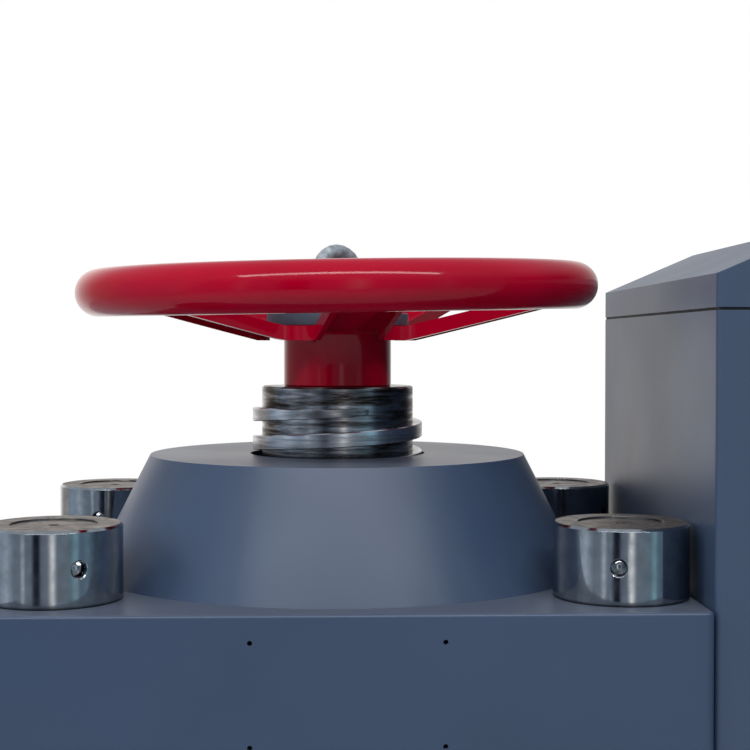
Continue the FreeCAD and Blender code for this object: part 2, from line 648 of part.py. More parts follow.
# Columns: a full shaft between the castings, thinner threaded ends through them
def column(label, side, row):
    made = body(label)
    low = "recess_deep - nut_high + end_sink"
    high = "cross_top + nut_high - end_sink"
    profile = [("0", low), ("column_end", low), ("column_end", "base_high"), ("column_body", "base_high"),
               ("column_body", cross_low), ("column_end", cross_low), ("column_end", high),
               ("centre_hole", high), ("0", f"{high} - centre_hole")]
    turned(made, sketch(made, profile))
    keep(place(made, f"{side}*column_wide/2", f"{row}*column_deep/2"), label)


# Round nut with four tommy-bar holes, chamfered on the face away from the casting
def round_nut(outer, x, y, z, turn, way):
    made = body("round_nut")
    bore = "(column_end + thread_gap)"
    rim, inner = ("nut_high", "0") if way > 0 else ("0", "nut_high")
    bevel = f"{rim} - {way}*nut_bevel"
    profile = [(bore, inner), (outer, inner), (outer, bevel), (f"{outer} - nut_bevel", rim), (bore, rim)]
    turned(made, sketch(made, profile if way > 0 else profile[::-1]))
    middle = "nut_high/2"
    beyond = f"({outer} + 2)"
    bottom = f"({outer} - tommy_deep)"
    hole = [(f"{bottom} - 0.6*tommy_bore", middle), (beyond, middle),
            (beyond, f"{middle} + tommy_bore + tommy_sink + 2"),
            (f"{outer} - tommy_sink", f"{middle} + tommy_bore"), (bottom, f"{middle} + tommy_bore")]
    axis = ((bottom, middle), (beyond, middle))
    groove = turned(made, sketch(made, hole, axis=axis), cut=True, axis="Axis0")
    ring_of(made, groove, "tommy_count")
    return place(made, x, y, z, (V(0, 0, 1), turn))


def column_nuts():
    corners = [(side, row) for row in (-1, 1) for side in (-1, 1)]
    for name, outer, level, way in (("column_nuts_top", "nut_round", "cross_top", 1),
                                    ("column_nuts_bottom", "base_nut", "recess_deep - nut_high", -1)):
        nuts = [round_nut(outer, f"{side}*column_wide/2", f"{row}*column_deep/2", level, turn, way)
                for (side, row), turn in zip(corners, NUT_TURNS)]
        keep(group(*nuts), name)


# Cylinder with a drilled oil way, its gland ring, and the ram with seal and spigot
def cylinder():
    made = body("cylinder")
    floor = "barrel_low + barrel_floor"
    rim = "base_high - gland_high"
    profile = [("0", "barrel_low"), ("barrel_round", "barrel_low"), ("barrel_round", rim), ("ram_bore", rim),
               ("ram_bore", floor), ("0", floor)]
    turned(made, sketch(made, profile))
    way_in = "ram_bore/2"
    pocket(made, sketch(made, ("circle", "0", "port_high", "oil_way"), plane="side", lift="barrel_round"),
           f"barrel_round - {way_in}")
    pocket(made, sketch(made, ("circle", way_in, "0", "oil_way"), plane="flat", lift=floor),
           f"{floor} - port_high")
    socket = ("circle", "0", "port_high", "pipe_round + thread_gap")
    pocket(made, sketch(made, socket, plane="side", lift="barrel_round"), "port_deep")
    holes(made, "gland_pcd", "gland_screws", rim, "gland_shank + thread_gap",
          "gland_screw_deep - gland_high + 3")
    keep(made, "cylinder")


def cylinder_gland():
    made = body("cylinder_gland")
    rim = "base_high - gland_high"
    turned(made, sketch(made, rectangle("ram_bore + gland_room", rim, "barrel_round", "base_high")))
    holes(made, "gland_pcd", "gland_screws", "base_high", "gland_shank + hole_room", "gland_high")
    keep(made, "cylinder_gland")


def frame_screws():
    gland = screws("gland_screws", "gland_pcd", "gland_screws", "base_high", "gland_head", "gland_head",
                   "gland_shank", "gland_screw_deep")
    nut = screws("nut_screws", "sleeve_pcd", "nut_screws", f"({cross_low} - sleeve_thick)", "nut_head",
                 "nut_head", "nut_shank", "sleeve_thick + nut_screw_deep", way=-1)
    keep(group(gland, nut), "frame_screws")


def ram():
    made = body("ram")
    outer = "ram_bore - ram_fit"
    groove = f"({outer} - seal_deep)"
    low, high = f"({ram_low} + seal_low)", f"({ram_low} + seal_low + seal_high)"
    profile = [("0", ram_low), (outer, ram_low), (outer, low), (groove, low), (groove, high), (outer, high),
               (outer, ram_top), ("spigot_round", ram_top), ("spigot_round", f"{ram_top} + spigot_high"),
               ("0", f"{ram_top} + spigot_high")]
    turned(made, sketch(made, profile))
    keep(made, "ram")
    seal = body("ram_seal")
    gap = "ram_fit"
    turned(seal, sketch(seal, rectangle(f"{groove} + {gap}", f"{low} + {gap}", outer, f"{high} - {gap}")))
    keep(seal, "ram_seal")


def lower_platen():
    made = body("lower_platen")
    sunk = f"{ram_top} + spigot_high + rest_gap"
    spigot = "spigot_round + thread_gap"
    bevel = "platen_round - platen_bevel"
    profile = [(spigot, ram_top), (bevel, ram_top), ("platen_round", f"{ram_top} + platen_bevel"),
               ("platen_round", f"{lower_top} - platen_bevel"), (bevel, lower_top), ("0", lower_top),
               ("0", sunk), (spigot, sunk)]
    turned(made, sketch(made, profile))
    keep(made, "lower_platen")


def over(r, reach):
    """Height above the ball centre of a sphere of radius r at the distance reach from the axis."""
    return f"sqrt(({r})^2 - ({reach})^2)"


# Ball seat: every rubbing face is a sphere about the middle of the upper platen's working face
liner_in = "(ball_round + ball_gap)"
liner_out = f"({liner_in} + liner_thick)"
seat_in = f"({liner_out} + ball_gap)"
flange_top = f"({seat_low} + flange_high)"
flange_ball = f"sqrt(flange_round^2 + ({flange_top} - {ball_at})^2)"
keeper_ball = f"({flange_ball} + keeper_gap)"


def upper_platen():
    made = body("upper_platen")
    bevel = "platen_round - platen_bevel"
    profile = [("0", ball_at), (bevel, ball_at), ("platen_round", f"{ball_at} + platen_bevel"),
               ("platen_round", rim_top), (over("ball_round", "upper_thick"), rim_top),
               ("arc", "0", ball_at, "ball_round", 1), ("0", f"{ball_at} + ball_round")]
    turned(made, sketch(made, profile))
    holes(made, "keeper_pcd", "keeper_screws", rim_top, "keeper_shank + thread_gap", "keeper_screw_deep + 3")
    keep(made, "upper_platen")


def ball_liner():
    made = body("ball_liner")
    rim = "(upper_thick + liner_lift)"
    level = f"{ball_at} + {rim}"
    profile = [(over(liner_in, rim), level), (over(liner_out, rim), level),
               ("arc", "0", ball_at, liner_out, 1),
               ("liner_hole", f"{ball_at} + " + over(liner_out, "liner_hole")),
               ("liner_hole", f"{ball_at} + " + over(liner_in, "liner_hole")),
               ("arc", "0", ball_at, liner_in, -1)]
    turned(made, sketch(made, profile))
    keep(made, "ball_liner")


def seat_block():
    made = body("seat_block")
    hollow = "(button_round + pocket_room)"
    profile = [(over(seat_in, f"{seat_low} - {ball_at}"), seat_low), ("flange_round", seat_low),
               ("flange_round", flange_top), ("arc", "0", ball_at, flange_ball, 1),
               ("seat_body", f"{ball_at} + " + over(flange_ball, "seat_body")), ("seat_body", seat_top),
               (hollow, seat_top), (hollow, pocket_low), ("0", pocket_low), ("0", f"{ball_at} + {seat_in}"),
               ("arc", "0", ball_at, seat_in, -1)]
    turned(made, sketch(made, profile))
    holes(made, "cap_pcd", "cap_screws", seat_top, "cap_shank + thread_gap",
          "cap_screw_deep - cap_thick + 3")
    keep(made, "seat_block")


def platen_keeper():
    made = body("platen_keeper")
    inner = "(flange_round + keeper_room)"
    high = f"({rim_top} + keeper_high)"
    profile = [(inner, rim_top), ("keeper_round", rim_top), ("keeper_round", high),
               (over(keeper_ball, f"{high} - {ball_at}"), high), ("arc", "0", ball_at, keeper_ball, -1),
               (inner, f"{ball_at} + " + over(keeper_ball, inner))]
    turned(made, sketch(made, profile))
    holes(made, "keeper_pcd", "keeper_screws", high, "keeper_shank + hole_room", "keeper_high")
    keep(made, "platen_keeper")
    keep(screws("keeper_bolts", "keeper_pcd", "keeper_screws", high, "keeper_head", "keeper_head",
                "keeper_shank", "keeper_high + keeper_screw_deep"), "keeper_screws")


# Seat cap in two halves, which closes round the screw's neck over its end button
def seat_cap():
    pad_made = body("thrust_pad")
    turned(pad_made, sketch(pad_made, rectangle("0", pocket_low, "button_round + pocket_room/2",
                                                f"{pocket_low} + pad_thick")))
    keep(pad_made, "thrust_pad")
    made = body("cap_ring")
    turned(made, sketch(made, rectangle("neck_round + pocket_room/2", seat_top, "cap_round",
                                        f"{seat_top} + cap_thick")))
    holes(made, "cap_pcd", "cap_screws", f"({seat_top} + cap_thick)", "cap_shank + hole_room", "cap_thick")
    slot = block("-cap_slot/2", "-cap_round - 1", f"{seat_top} - 1", "cap_slot", "2*cap_round + 2",
                 "cap_thick + 2")
    keep(cut(made, place(slot, "-cap_slot/2", "-cap_round - 1", f"{seat_top} - 1")), "seat_cap")
    keep(screws("cap_bolts", "cap_pcd", "cap_screws", f"({seat_top} + cap_thick)", "cap_head", "cap_head",
                "cap_shank", "cap_screw_deep"), "seat_cap_screws")


# Faceted helical ridge round a core, closed at both ends by cones and cut off level at low and high
def thread(core, crest, room, low, high):
    core, crest, room, low, high = (val(text) for text in (core, crest, room, low, high))
    rise, wide, steps = val("pitch"), val("ridge"), int(val("thread_steps"))
    front = val("cross_top + ridge_front")
    first = front - rise * math.ceil((front - low) / rise + 1)
    last = steps * math.ceil((high - first) / rise + 1)
    profile = [(core, -room), (crest, -room), (crest, wide + room), (core, wide + room), (core, rise - room)]
    faces = []

    def at(step, r, lift):
        angle = math.radians(360 / steps * step - 90)
        return V(r * math.cos(angle), r * math.sin(angle), first + rise * step / steps + lift)

    def facet(*points):
        faces.append(Part.Face(Part.makePolygon([*points, points[0]])))

    for step in range(last):
        for start, end in zip(profile, profile[1:]):
            a, b, c, d = at(step, *start), at(step, *end), at(step + 1, *end), at(step + 1, *start)
            if start[0] == end[0]:
                facet(a, b, c, d)
            else:
                facet(a, b, c)
                facet(a, c, d)
    for step, lift, apex in ((0, -room, first),
                             (last - steps, rise - room, first + rise * (last / steps + 1))):
        tip = V(0, 0, apex)
        for turn in range(step, step + steps):
            facet(tip, at(turn, core, lift), at(turn + 1, core, lift))
        facet(tip, *[at(0 if step == 0 else last, *corner) for corner in profile])
    shell = Part.makeShell(faces)
    shell.sewShape()
    solid = Part.makeSolid(shell)
    if solid.Volume < 0:
        solid.reverse()
    made = doc.addObject("Part::Feature", "thread")
    made.Shape = solid.common(Part.makeCylinder(2 * crest, high - low, V(0, 0, low)))
    return made


# Lead screw: an end button and neck below, the thread, and a plain end drilled for the eyebolt and the pins
def lead_screw():
    foot = body("screw_foot")
    button_low = f"({pocket_low} + pad_thick + rest_gap)"
    button_top = f"({seat_top} - rest_gap)"
    neck_top = f"({button_top} + neck_over)"
    start, end = "(cross_top - thread_low)", "(cross_top + thread_top)"
    profile = [("0", button_low), ("button_round", button_low), ("button_round", button_top),
               ("neck_round", button_top), ("neck_round", neck_top), ("screw_root", neck_top),
               ("screw_root", start), ("0", start)]
    turned(foot, sketch(foot, profile))
    head = body("screw_head")
    turned(head, sketch(head, rectangle("0", end, "screw_root", screw_end)))
    blank = join(foot, thread("screw_root", "screw_crest", "0", start, end), head)
    drilled = [rod("0", "0", f"{clamp_top} - eye_long - 2", "eye_shank + thread_gap", "eye_long + 2")]
    for side in (-1, 1):
        drilled.append(rod(f"{side}*pin_pcd", "0", f"{screw_end} - pin_long/2 - 1",
                           "pin_round + thread_gap", "pin_long"))
    keep(cut(blank, *drilled), "lead_screw")


def screw_nut():
    made = body("nut_blank")
    low, seat, high = f"({cross_low} - sleeve_thick)", cross_low, f"({cross_low} + sleeve_high)"
    profile = [("0", low), ("sleeve_flange", low), ("sleeve_flange", seat), ("sleeve_round", seat),
               ("sleeve_round", high), ("0", high)]
    turned(made, sketch(made, profile))
    holes(made, "sleeve_pcd", "nut_screws", low, "nut_shank + hole_room", "sleeve_thick", below=False)
    way = thread("screw_root + root_room", "screw_crest + crest_room", "side_room", f"{low} - 1",
                 f"{high} + 1")
    keep(cut(made, way), "screw_nut")


# Star of the spider's arms: a shallow cone with a window between each two arms
def star(name, skin, below, reach):
    made = body(name)
    top, low = f"({dish_top} - {skin})", f"({dish_top} - dish_deep - {below})"
    rise = f"dish_rise*({reach} - dish_flat)/(dish_reach - dish_flat)"
    profile = [("0", low), ("dish_flat", low), (reach, f"{low} + {rise}"), (reach, f"{top} + {rise}"),
               ("dish_flat", top), ("0", top)]
    turned(made, sketch(made, profile))
    middle, part = "(arm_wide/2 + window_round)", "(360/arm_count)"
    centre, half, far = f"({middle}/tan({part}/2))", f"(arm_wide/2 - {skin})", "1.25*dish_reach"

    def across(x):
        return f"{x}*cos({part}) + {half}*sin({part})", f"{x}*sin({part}) - {half}*cos({part})"

    window = [(centre, half), (far, half), across(far), across(centre),
              ("arc", centre, middle, f"window_round + {skin}", 1)]
    ring_of(made, pocket(made, sketch(made, window, plane="flat")), "arm_count")
    made.Placement.Rotation = FreeCAD.Rotation(V(0, 0, 1), ARM_TURN)
    return made


# Hand wheel: hub on the screw's end, pressed five-arm spider open below, and a round rim it is welded to
def wheel():
    hub = body("wheel_hub")
    hub_top = f"({screw_end} + hub_high)"
    turned(hub, sketch(hub, rectangle("eye_shank + hole_room", screw_end, "hub_round", hub_top)))
    spots = [("circle", f"{side}*pin_pcd", "0", "pin_round + thread_gap") for side in (-1, 1)]
    pocket(hub, sketch(hub, *spots, plane="flat", lift=f"{screw_end} + pin_long/2 + 1"), "pin_long/2 + 1")
    keep(hub, "wheel_hub")

    rim_at = f"({screw_end} + rim_lift)"
    groove = primitive("Torus", Radius1="wheel_round - rim_tube", Radius2="rim_tube + weld_gap")
    bore = rod("0", "0", f"{dish_top} - dish_deep", "eye_shank + hole_room", "dish_deep + 1")
    pressed = cut(star("spider", "0", "0", "dish_reach"), star("hollow", "dish_skin", "1", "1.02*dish_reach"))
    keep(cut(pressed, place(groove, z=rim_at, turn=(LEAN_AXIS, "rim_lean")), bore), "wheel_spider")

    rim = body("wheel_rim")
    turned(rim, sketch(rim, ("circle", "wheel_round - rim_tube", "0", "rim_tube")))
    keep(place(rim, z=rim_at, turn=(LEAN_AXIS, "rim_lean")), "wheel_rim")

    plate = body("clamp_plate")
    disc = turned(plate, sketch(plate, rectangle("eye_shank + hole_room", dish_top, "clamp_round",
                                                 clamp_top)))
    rounded(plate, disc,
            lambda edge: at_height(clamp_top)(edge) and edge.BoundBox.XLength > val("clamp_round"),
            "clamp_edge", kind="Chamfer")
    keep(plate, "clamp_plate")


def eyebolt():
    made = body("lifting_eyebolt")
    crown = f"({clamp_top} + collar_high)"
    profile = [("0", f"{clamp_top} - eye_long"), ("eye_shank", f"{clamp_top} - eye_long"),
               ("eye_shank", clamp_top), ("eye_collar", clamp_top),
               ("eye_collar", f"{crown} - collar_high/3"), ("0.7*eye_collar", crown), ("0", crown)]
    turned(made, sketch(made, profile))
    middle = f"({clamp_top} + eye_high - eye_ring - eye_wire)"
    ring = ("circle", "0", f"{middle} + eye_ring", "eye_wire")
    turned(made, sketch(made, ring, plane="side", axis=(("-eye_ring", middle), ("eye_ring", middle))),
           axis="Axis0")
    made.Placement.Rotation = FreeCAD.Rotation(V(0, 0, 1), 1)
    drive(made, Placement__Rotation__Angle="eye_turn")
    keep(made, "lifting_eyebolt")
    pins = [rod(f"{side}*pin_pcd", "0", f"{screw_end} - pin_long/2", "pin_round", "pin_long")
            for side in (-1, 1)]
    keep(group(*pins), "drive_pins")


# Where the cabinet's screws sit, each seen square to its sheet
def panel_spots():
    return [(x, z) for x in ("case_left + panel_side - panel_lap/2",
                             f"{case_right} - panel_side + panel_lap/2")
            for z in ("panel_low + 10", "panel_low + panel_high - 10")]


def block_spots():
    return [(panel_mid, f"knob_high + {way}*block_screw") for way in (-1, 1)]


def rear_spots():
    return [(x, z) for x in ("case_left + border - rear_lap/2", f"{case_right} - border + rear_lap/2")
            for z in ("rear_low + 10", "rear_low + rear_high/2", "rear_low + rear_high - 10")]


def lid_spots():
    return [(x, y) for x in ("case_left + seam_inset + seam_wide/2",
                             f"{case_right} - seam_inset - seam_wide/2")
            for y in ("case_front + 90", f"{case_rear} - 90")]


def clear(spots):
    return [("circle", *spot, "bolt_shank + hole_room") for spot in spots]


# Cabinet body: one folded sheet box with openings for the lid, the panel, the door and the rear plate
def cabinet_shell():
    made = body("cabinet_shell")
    outer = pad(made, sketch(made, rectangle("case_left", "case_front", case_right, case_rear), plane="flat",
                             lift="case_low"), f"{case_top} - case_low")
    rounded(made, outer, upright, "case_round")
    inner = rectangle("case_left + sheet_thick", "case_front + sheet_thick", f"{case_right} - sheet_thick",
                      f"{case_rear} - sheet_thick")
    pocket(made, sketch(made, inner, plane="flat", lift=f"{case_top} - sheet_thick"),
           f"{case_top} - case_low - 2*sheet_thick")
    left, right = "(case_left + border)", f"({case_right} - border)"
    mouth = rectangle(left, "case_front + border", right, f"{case_rear} - border")
    pocket(made, sketch(made, mouth, *clear(lid_spots()), plane="flat", lift=case_top), "sheet_thick + 1")
    front = [rectangle(left, "door_low", right, "door_low + door_high"),
             rectangle("case_left + panel_side", "panel_low", f"{case_right} - panel_side",
                       "panel_low + panel_high")]
    pocket(made, sketch(made, *front, *clear(panel_spots()), lift="-case_front"), "sheet_thick + 1")
    rear = [rectangle(left, "rear_low", right, "rear_low + rear_high"),
            ("circle", f"{case_right} - cable_in", "cable_high", "cable_round + hole_room")]
    pocket(made, sketch(made, *rear, *clear(rear_spots()), lift=f"-({case_rear} - sheet_thick - 1)"),
           "sheet_thick + 1")
    side = [("circle", "0", "port_high", "pipe_round + column_room")]
    side += [("circle", f"{way}*tie_apart/2", "tie_high", "tie_shank + hole_room") for way in (-1, 1)]
    pocket(made, sketch(made, *side, plane="side", lift="case_left + sheet_thick + 1"), "sheet_thick + 1")
    spots = [("circle", x, y, "leg_stud + hole_room") for x, y in leg_spots()]
    pocket(made, sketch(made, *spots, plane="flat", lift="case_low + sheet_thick + 1"), "sheet_thick + 1")
    keep(made, "cabinet_shell")


def leg_spots():
    return [(x, y) for x in ("case_left + leg_in", f"{case_right} - leg_in")
            for y in ("case_front + leg_in", f"{case_rear} - leg_in")]


# Lid with a slope on each side, hollow, its lower edge turned in over the gasket
def cabinet_lid():
    made = body("cabinet_lid")
    low = f"({case_top} + seam)"
    bend, top = f"({low} + lid_edge)", f"({low} + lid_edge + lid_rise)"
    profile = [("case_left", low), (case_right, low), (case_right, bend), (f"{case_right} - lid_run", top),
               ("case_left + lid_run", top), ("case_left", bend)]
    outer = pad(made, sketch(made, profile, lift="-case_front"), "case_deep", backwards=True)
    rounded(made, outer, upright, "case_round")
    slant = "(sheet_thick*sqrt(1 + (lid_rise/lid_run)^2))"
    floor, roof = f"({low} + sheet_thick)", f"({top} - sheet_thick)"
    turn_at = f"(lid_run*(lid_rise - sheet_thick + {slant})/lid_rise)"
    eave = f"({bend} + sheet_thick*lid_rise/lid_run - {slant})"
    inner = [("case_left + sheet_thick", floor), (f"{case_right} - sheet_thick", floor),
             (f"{case_right} - sheet_thick", eave), (f"{case_right} - {turn_at}", roof),
             (f"case_left + {turn_at}", roof), ("case_left + sheet_thick", eave)]
    pocket(made, sketch(made, inner, lift="-(case_front + sheet_thick)"), "case_deep - 2*sheet_thick")
    mouth = rectangle("case_left + border", "case_front + border", f"{case_right} - border",
                      f"{case_rear} - border")
    pocket(made, sketch(made, mouth, *clear(lid_spots()), plane="flat", lift=floor), "sheet_thick + 1")
    keep(made, "cabinet_lid")

    ring = body("lid_gasket")
    loops = [rectangle(f"case_left + {inset}", f"case_front + {inset}", f"{case_right} - {inset}",
                       f"{case_rear} - {inset}") for inset in ("seam_inset", "(seam_inset + seam_wide)")]
    pad(ring, sketch(ring, *loops, *clear(lid_spots()), plane="flat", lift=case_top), "seam")
    keep(ring, "lid_gasket")


def cabinet_back():
    made = body("cabinet_back")
    left, right = "(case_left + border - rear_lap)", f"({case_right} - border + rear_lap)"
    plate = rectangle(left, "rear_low - rear_lap", right, "rear_low + rear_high + rear_lap")
    pad(made, sketch(made, plate, lift=f"-{case_rear}"), "sheet_thick", backwards=True)
    slots = []
    for way in (-1, 1):
        for i in range(LOUVRES):
            x = f"({panel_mid} + {way}*(louvre_wide/2 + louvre_step))"
            z = f"(louvre_low + {i}*louvre_step)"
            slots.append(rectangle(f"{x} - louvre_wide/2", z, f"{x} + louvre_wide/2", f"{z} + louvre_high"))
    pocket(made, sketch(made, *slots, *clear(rear_spots()), lift=f"-{case_rear}"), "sheet_thick + 1")
    keep(made, "cabinet_back")


def cabinet_feet():
    made = []
    floor = "case_low + sheet_thick"
    for x, y in leg_spots():
        foot = body("foot")
        profile = [("0", "0"), ("leg_round", "0"), ("leg_round", "case_low - leg_stud"),
                   ("2*leg_stud", "case_low"), ("leg_stud", "case_low"), ("leg_stud", floor),
                   ("1.7*leg_stud", floor), ("1.7*leg_stud", f"{floor} + 1.5*leg_stud"),
                   ("leg_stud", f"{floor} + 1.5*leg_stud"), ("leg_stud", f"{floor} + 2*leg_stud"),
                   ("0", f"{floor} + 2*leg_stud")]
        turned(foot, sketch(foot, profile))
        made.append(place(foot, x, y))
    keep(group(*made), "cabinet_feet")


# Bolts with spacers that tie the cabinet to the base casting
def cabinet_ties():
    made = []
    for way in (-1, 1):
        tie = body("tie")
        wall = "(case_left - cross_wide/2)"
        profile = [("0", f"-(sheet_thick + {wall} + tie_deep)"),
                   ("tie_shank", f"-(sheet_thick + {wall} + tie_deep)"),
                   ("tie_shank", f"-(sheet_thick + {wall})"), ("tie_ring", f"-(sheet_thick + {wall})"),
                   ("tie_ring", "-sheet_thick"), ("tie_shank", "-sheet_thick"), ("tie_shank", "0"),
                   ("tie_head", "0"), ("tie_head", "1.3*tie_shank"), ("0", "1.3*tie_shank")]
        turned(tie, sketch(tie, profile))
        made.append(place(tie, "case_left + sheet_thick", f"{way}*tie_apart/2", "tie_high", (V(0, 1, 0), 90)))
    keep(group(*made), "cabinet_ties")


push_x = f"({panel_mid} + push_from)"
stop_x = f"({case_right} - stop_from)"
dial_x = f"({case_right} - dial_from)"


def knob_x(way):
    return f"({panel_mid} + {way}*knob_apart/2)"


# Instrument panel with the collars of its buttons
def instrument_panel():
    made = body("instrument_panel")
    left, right = "(case_left + panel_side - panel_lap)", f"({case_right} - panel_side + panel_lap)"
    sheet_in = rectangle(left, "panel_low - panel_lap", right, "panel_low + panel_high + panel_lap")
    pad(made, sketch(made, sheet_in, lift="-case_front"), "panel_thick")
    collars = [("circle", push_x, z, "collar_round") for z in ("push_high", "push_high - push_apart")]
    pad(made, sketch(made, *collars, ("circle", stop_x, "stop_high", "guard_round"), lift=f"-{panel_face}"),
        "collar_out")
    plate = rectangle(f"{dial_x} - dial_plate/2", "knob_high - dial_plate/2", f"{dial_x} + dial_plate/2",
                      "knob_high + dial_plate/2")
    pad(made, sketch(made, plate, lift=f"-{panel_face}"), "collar_out/2")
    cutouts = [("circle", push_x, z, "push_round + run_fit") for z in ("push_high", "push_high - push_apart")]
    cutouts.append(("circle", stop_x, "stop_high", "stem_round + run_fit"))
    cutouts.append(("circle", dial_x, "knob_high", "shaft_round + run_fit"))
    cutouts += [("circle", knob_x(way), "knob_high", "stem_round + 2*hole_room") for way in (-1, 1)]
    cutouts.append(rectangle(f"{panel_mid} - glass_wide/2 - 5", "screen_high - glass_high/2 - 5",
                             f"{panel_mid} + glass_wide/2 + 5", "screen_high + glass_high/2 + 5"))
    pocket(made, sketch(made, *cutouts, *clear(panel_spots() + block_spots())))
    keep(made, "instrument_panel")


def display():
    made = body("display_bezel")
    across, up = "glass_wide/2", "glass_high/2"

    def frame(grow):
        return rectangle(f"{panel_mid} - {across} - {grow}", f"screen_high - {up} - {grow}",
                         f"{panel_mid} + {across} + {grow}", f"screen_high + {up} + {grow}")

    pad(made, sketch(made, frame("bezel_edge"), lift=f"-{panel_face}"), "bezel_out")
    pad(made, sketch(made, frame("4.5"), lift=f"-{panel_face}"), "panel_thick + screen_case", backwards=True)
    front = f"-({panel_face} - bezel_out)"
    pocket(made, sketch(made, frame("0"), lift=front), "screen_sink")
    keep(made, "display_bezel")
    glass = body("display_glass")
    pad(glass, sketch(glass, frame("-0.1"), lift=f"{front} - screen_sink"), "glass_thick")
    keep(glass, "display_glass")


def keypad():
    made = body("keypad")
    left, low = f"({panel_mid} - pad_left)", "pad_low"
    pad(made, sketch(made, rectangle(left, low, f"{left} + pad_wide", f"{low} + pad_high"),
                     lift=f"-{panel_face}"), "pad_out")
    keys = []
    for column_at in range(KEYS[0]):
        for row_at in range(KEYS[1]):
            x = f"({left} + pad_wide*({column_at} + 0.5)/{KEYS[0]} - key_wide/2)"
            z = f"({low} + pad_high*({row_at} + 0.5)/{KEYS[1]} - key_high/2)"
            keys.append(rectangle(x, z, f"{x} + key_wide", f"{z} + key_high"))
    pad(made, sketch(made, *keys, lift=f"-({panel_face} - pad_out)"), "key_out")
    keep(made, "keypad")


# Push button with a rear flange that holds it in the panel; its own +Z points into the panel
def push_button(label, z):
    made = body(label)
    front, behind = "-(collar_out + push_out)", "(panel_thick + lock_gap)"
    profile = [("0", front), ("push_round - 1", front), ("push_round", f"{front} + 1"),
               ("push_round", behind), ("lock_round", behind), ("lock_round", f"{behind} + lock_thick"),
               ("push_round - 3", f"{behind} + lock_thick"), ("push_round - 3", f"{behind} + 4*lock_thick"),
               ("0", f"{behind} + 4*lock_thick")]
    turned(made, sketch(made, profile))
    keep(place(made, push_x, panel_face, z, INWARD), label)


def emergency_stop():
    made = body("emergency_stop")
    behind = "(panel_thick + lock_gap)"
    profile = [("0", "-stop_out"), ("0.6*stop_round", "-stop_out"),
               ("stop_round", "-stop_out + stop_thick/2"), ("stop_round", "-stop_out + stop_thick"),
               ("stem_round", "-stop_out + stop_thick"), ("stem_round", behind), ("lock_round", behind),
               ("lock_round", f"{behind} + lock_thick"), ("stem_round", f"{behind} + lock_thick"),
               ("stem_round", f"{behind} + 5*lock_thick"), ("0", f"{behind} + 5*lock_thick")]
    turned(made, sketch(made, profile))
    keep(place(made, stop_x, panel_face, "stop_high", INWARD), "emergency_stop")


def main_switch():
    made = body("main_switch")
    foot = "-(collar_out/2 + lock_gap)"
    behind = "(panel_thick + lock_gap)"
    profile = [("0", f"{foot} - dial_out"), ("dial_round", f"{foot} - dial_out"), ("dial_round", foot),
               ("shaft_round", foot), ("shaft_round", behind), ("lock_round - 2", behind),
               ("lock_round - 2", f"{behind} + lock_thick"), ("shaft_round", f"{behind} + lock_thick"),
               ("shaft_round", f"{behind} + 6*lock_thick"), ("0", f"{behind} + 6*lock_thick")]
    turned(made, sketch(made, profile))
    grip = rectangle("-grip_wide/2", "-grip_long/2", "grip_wide/2", "grip_long/2")
    pad(made, sketch(made, grip, plane="flat", lift=f"{foot} - dial_out/2"), "dial_out", backwards=True)
    keep(place(made, dial_x, panel_face, "knob_high", INWARD), "main_switch")


# Fluted valve knob on its stem, with a raised mark
def valve_knob(label, way):
    made = body(label)
    foot = "-knob_gap"
    front = f"({foot} - knob_long)"
    profile = [("0", front), ("0.8*knob_round", front), ("knob_round", f"{front} + 4"),
               ("knob_round", foot), ("stem_round", foot), ("stem_round", "panel_thick + bore_deep - 2"),
               ("0", "panel_thick + bore_deep - 2")]
    turned(made, sketch(made, profile))
    flute = ("circle", "flute_at", "0", "flute_round")
    ring_of(made, pocket(made, sketch(made, flute, plane="flat", lift=foot), "knob_long"), "knob_flutes")
    mark = rectangle("-1.5", "0.3*knob_round", "1.5", "0.7*knob_round")
    pad(made, sketch(made, mark, plane="flat", lift=front), "1", backwards=True)
    keep(place(made, knob_x(way), panel_face, "knob_high", INWARD), label)


def valve_block():
    made = body("valve_block")
    half = "block_wide/2"
    face = rectangle(f"{panel_mid} - {half}", "knob_high - block_high/2", f"{panel_mid} + {half}",
                     "knob_high + block_high/2")
    pad(made, sketch(made, face, lift="-case_front"), "block_deep", backwards=True)
    bores = [("circle", knob_x(way), "knob_high", "stem_round + run_fit") for way in (-1, 1)]
    pocket(made, sketch(made, *bores, lift="-case_front"), "bore_deep")
    taps = [("circle", *spot, "bolt_shank + thread_gap") for spot in block_spots()]
    pocket(made, sketch(made, *taps, lift="-case_front"), "2*bolt_long")
    sockets = [("circle", x, "pipe_high", "pipe_round + thread_gap") for x in (feed_x, drain_x)]
    pocket(made, sketch(made, *sockets, lift="-(case_front + block_deep - port_deep)"), "port_deep + 1")
    low = "(knob_high - block_high/2)"
    socket = ("circle", ram_pipe_x, "ram_pipe_front", "pipe_round + thread_gap")
    pocket(made, sketch(made, socket, plane="flat", lift=f"{low} + port_deep"), "port_deep + 1")
    top = "(knob_high + block_high/2)"
    stud = ("circle", panel_mid, "ram_pipe_front", "sensor_stud + thread_gap")
    pocket(made, sketch(made, stud, plane="flat", lift=top), "2*port_deep")
    keep(made, "valve_block")

    sensor = body("pressure_sensor")
    profile = [("0", "-2*port_deep + 1"), ("sensor_stud", "-2*port_deep + 1"), ("sensor_stud", "0"),
               ("sensor_round", "0"), ("sensor_round", "0.8*sensor_high"),
               ("sensor_stud", "0.8*sensor_high"), ("sensor_stud", "sensor_high"), ("0", "sensor_high")]
    turned(sensor, sketch(sensor, profile))
    keep(place(sensor, panel_mid, "ram_pipe_front", top), "pressure_sensor")


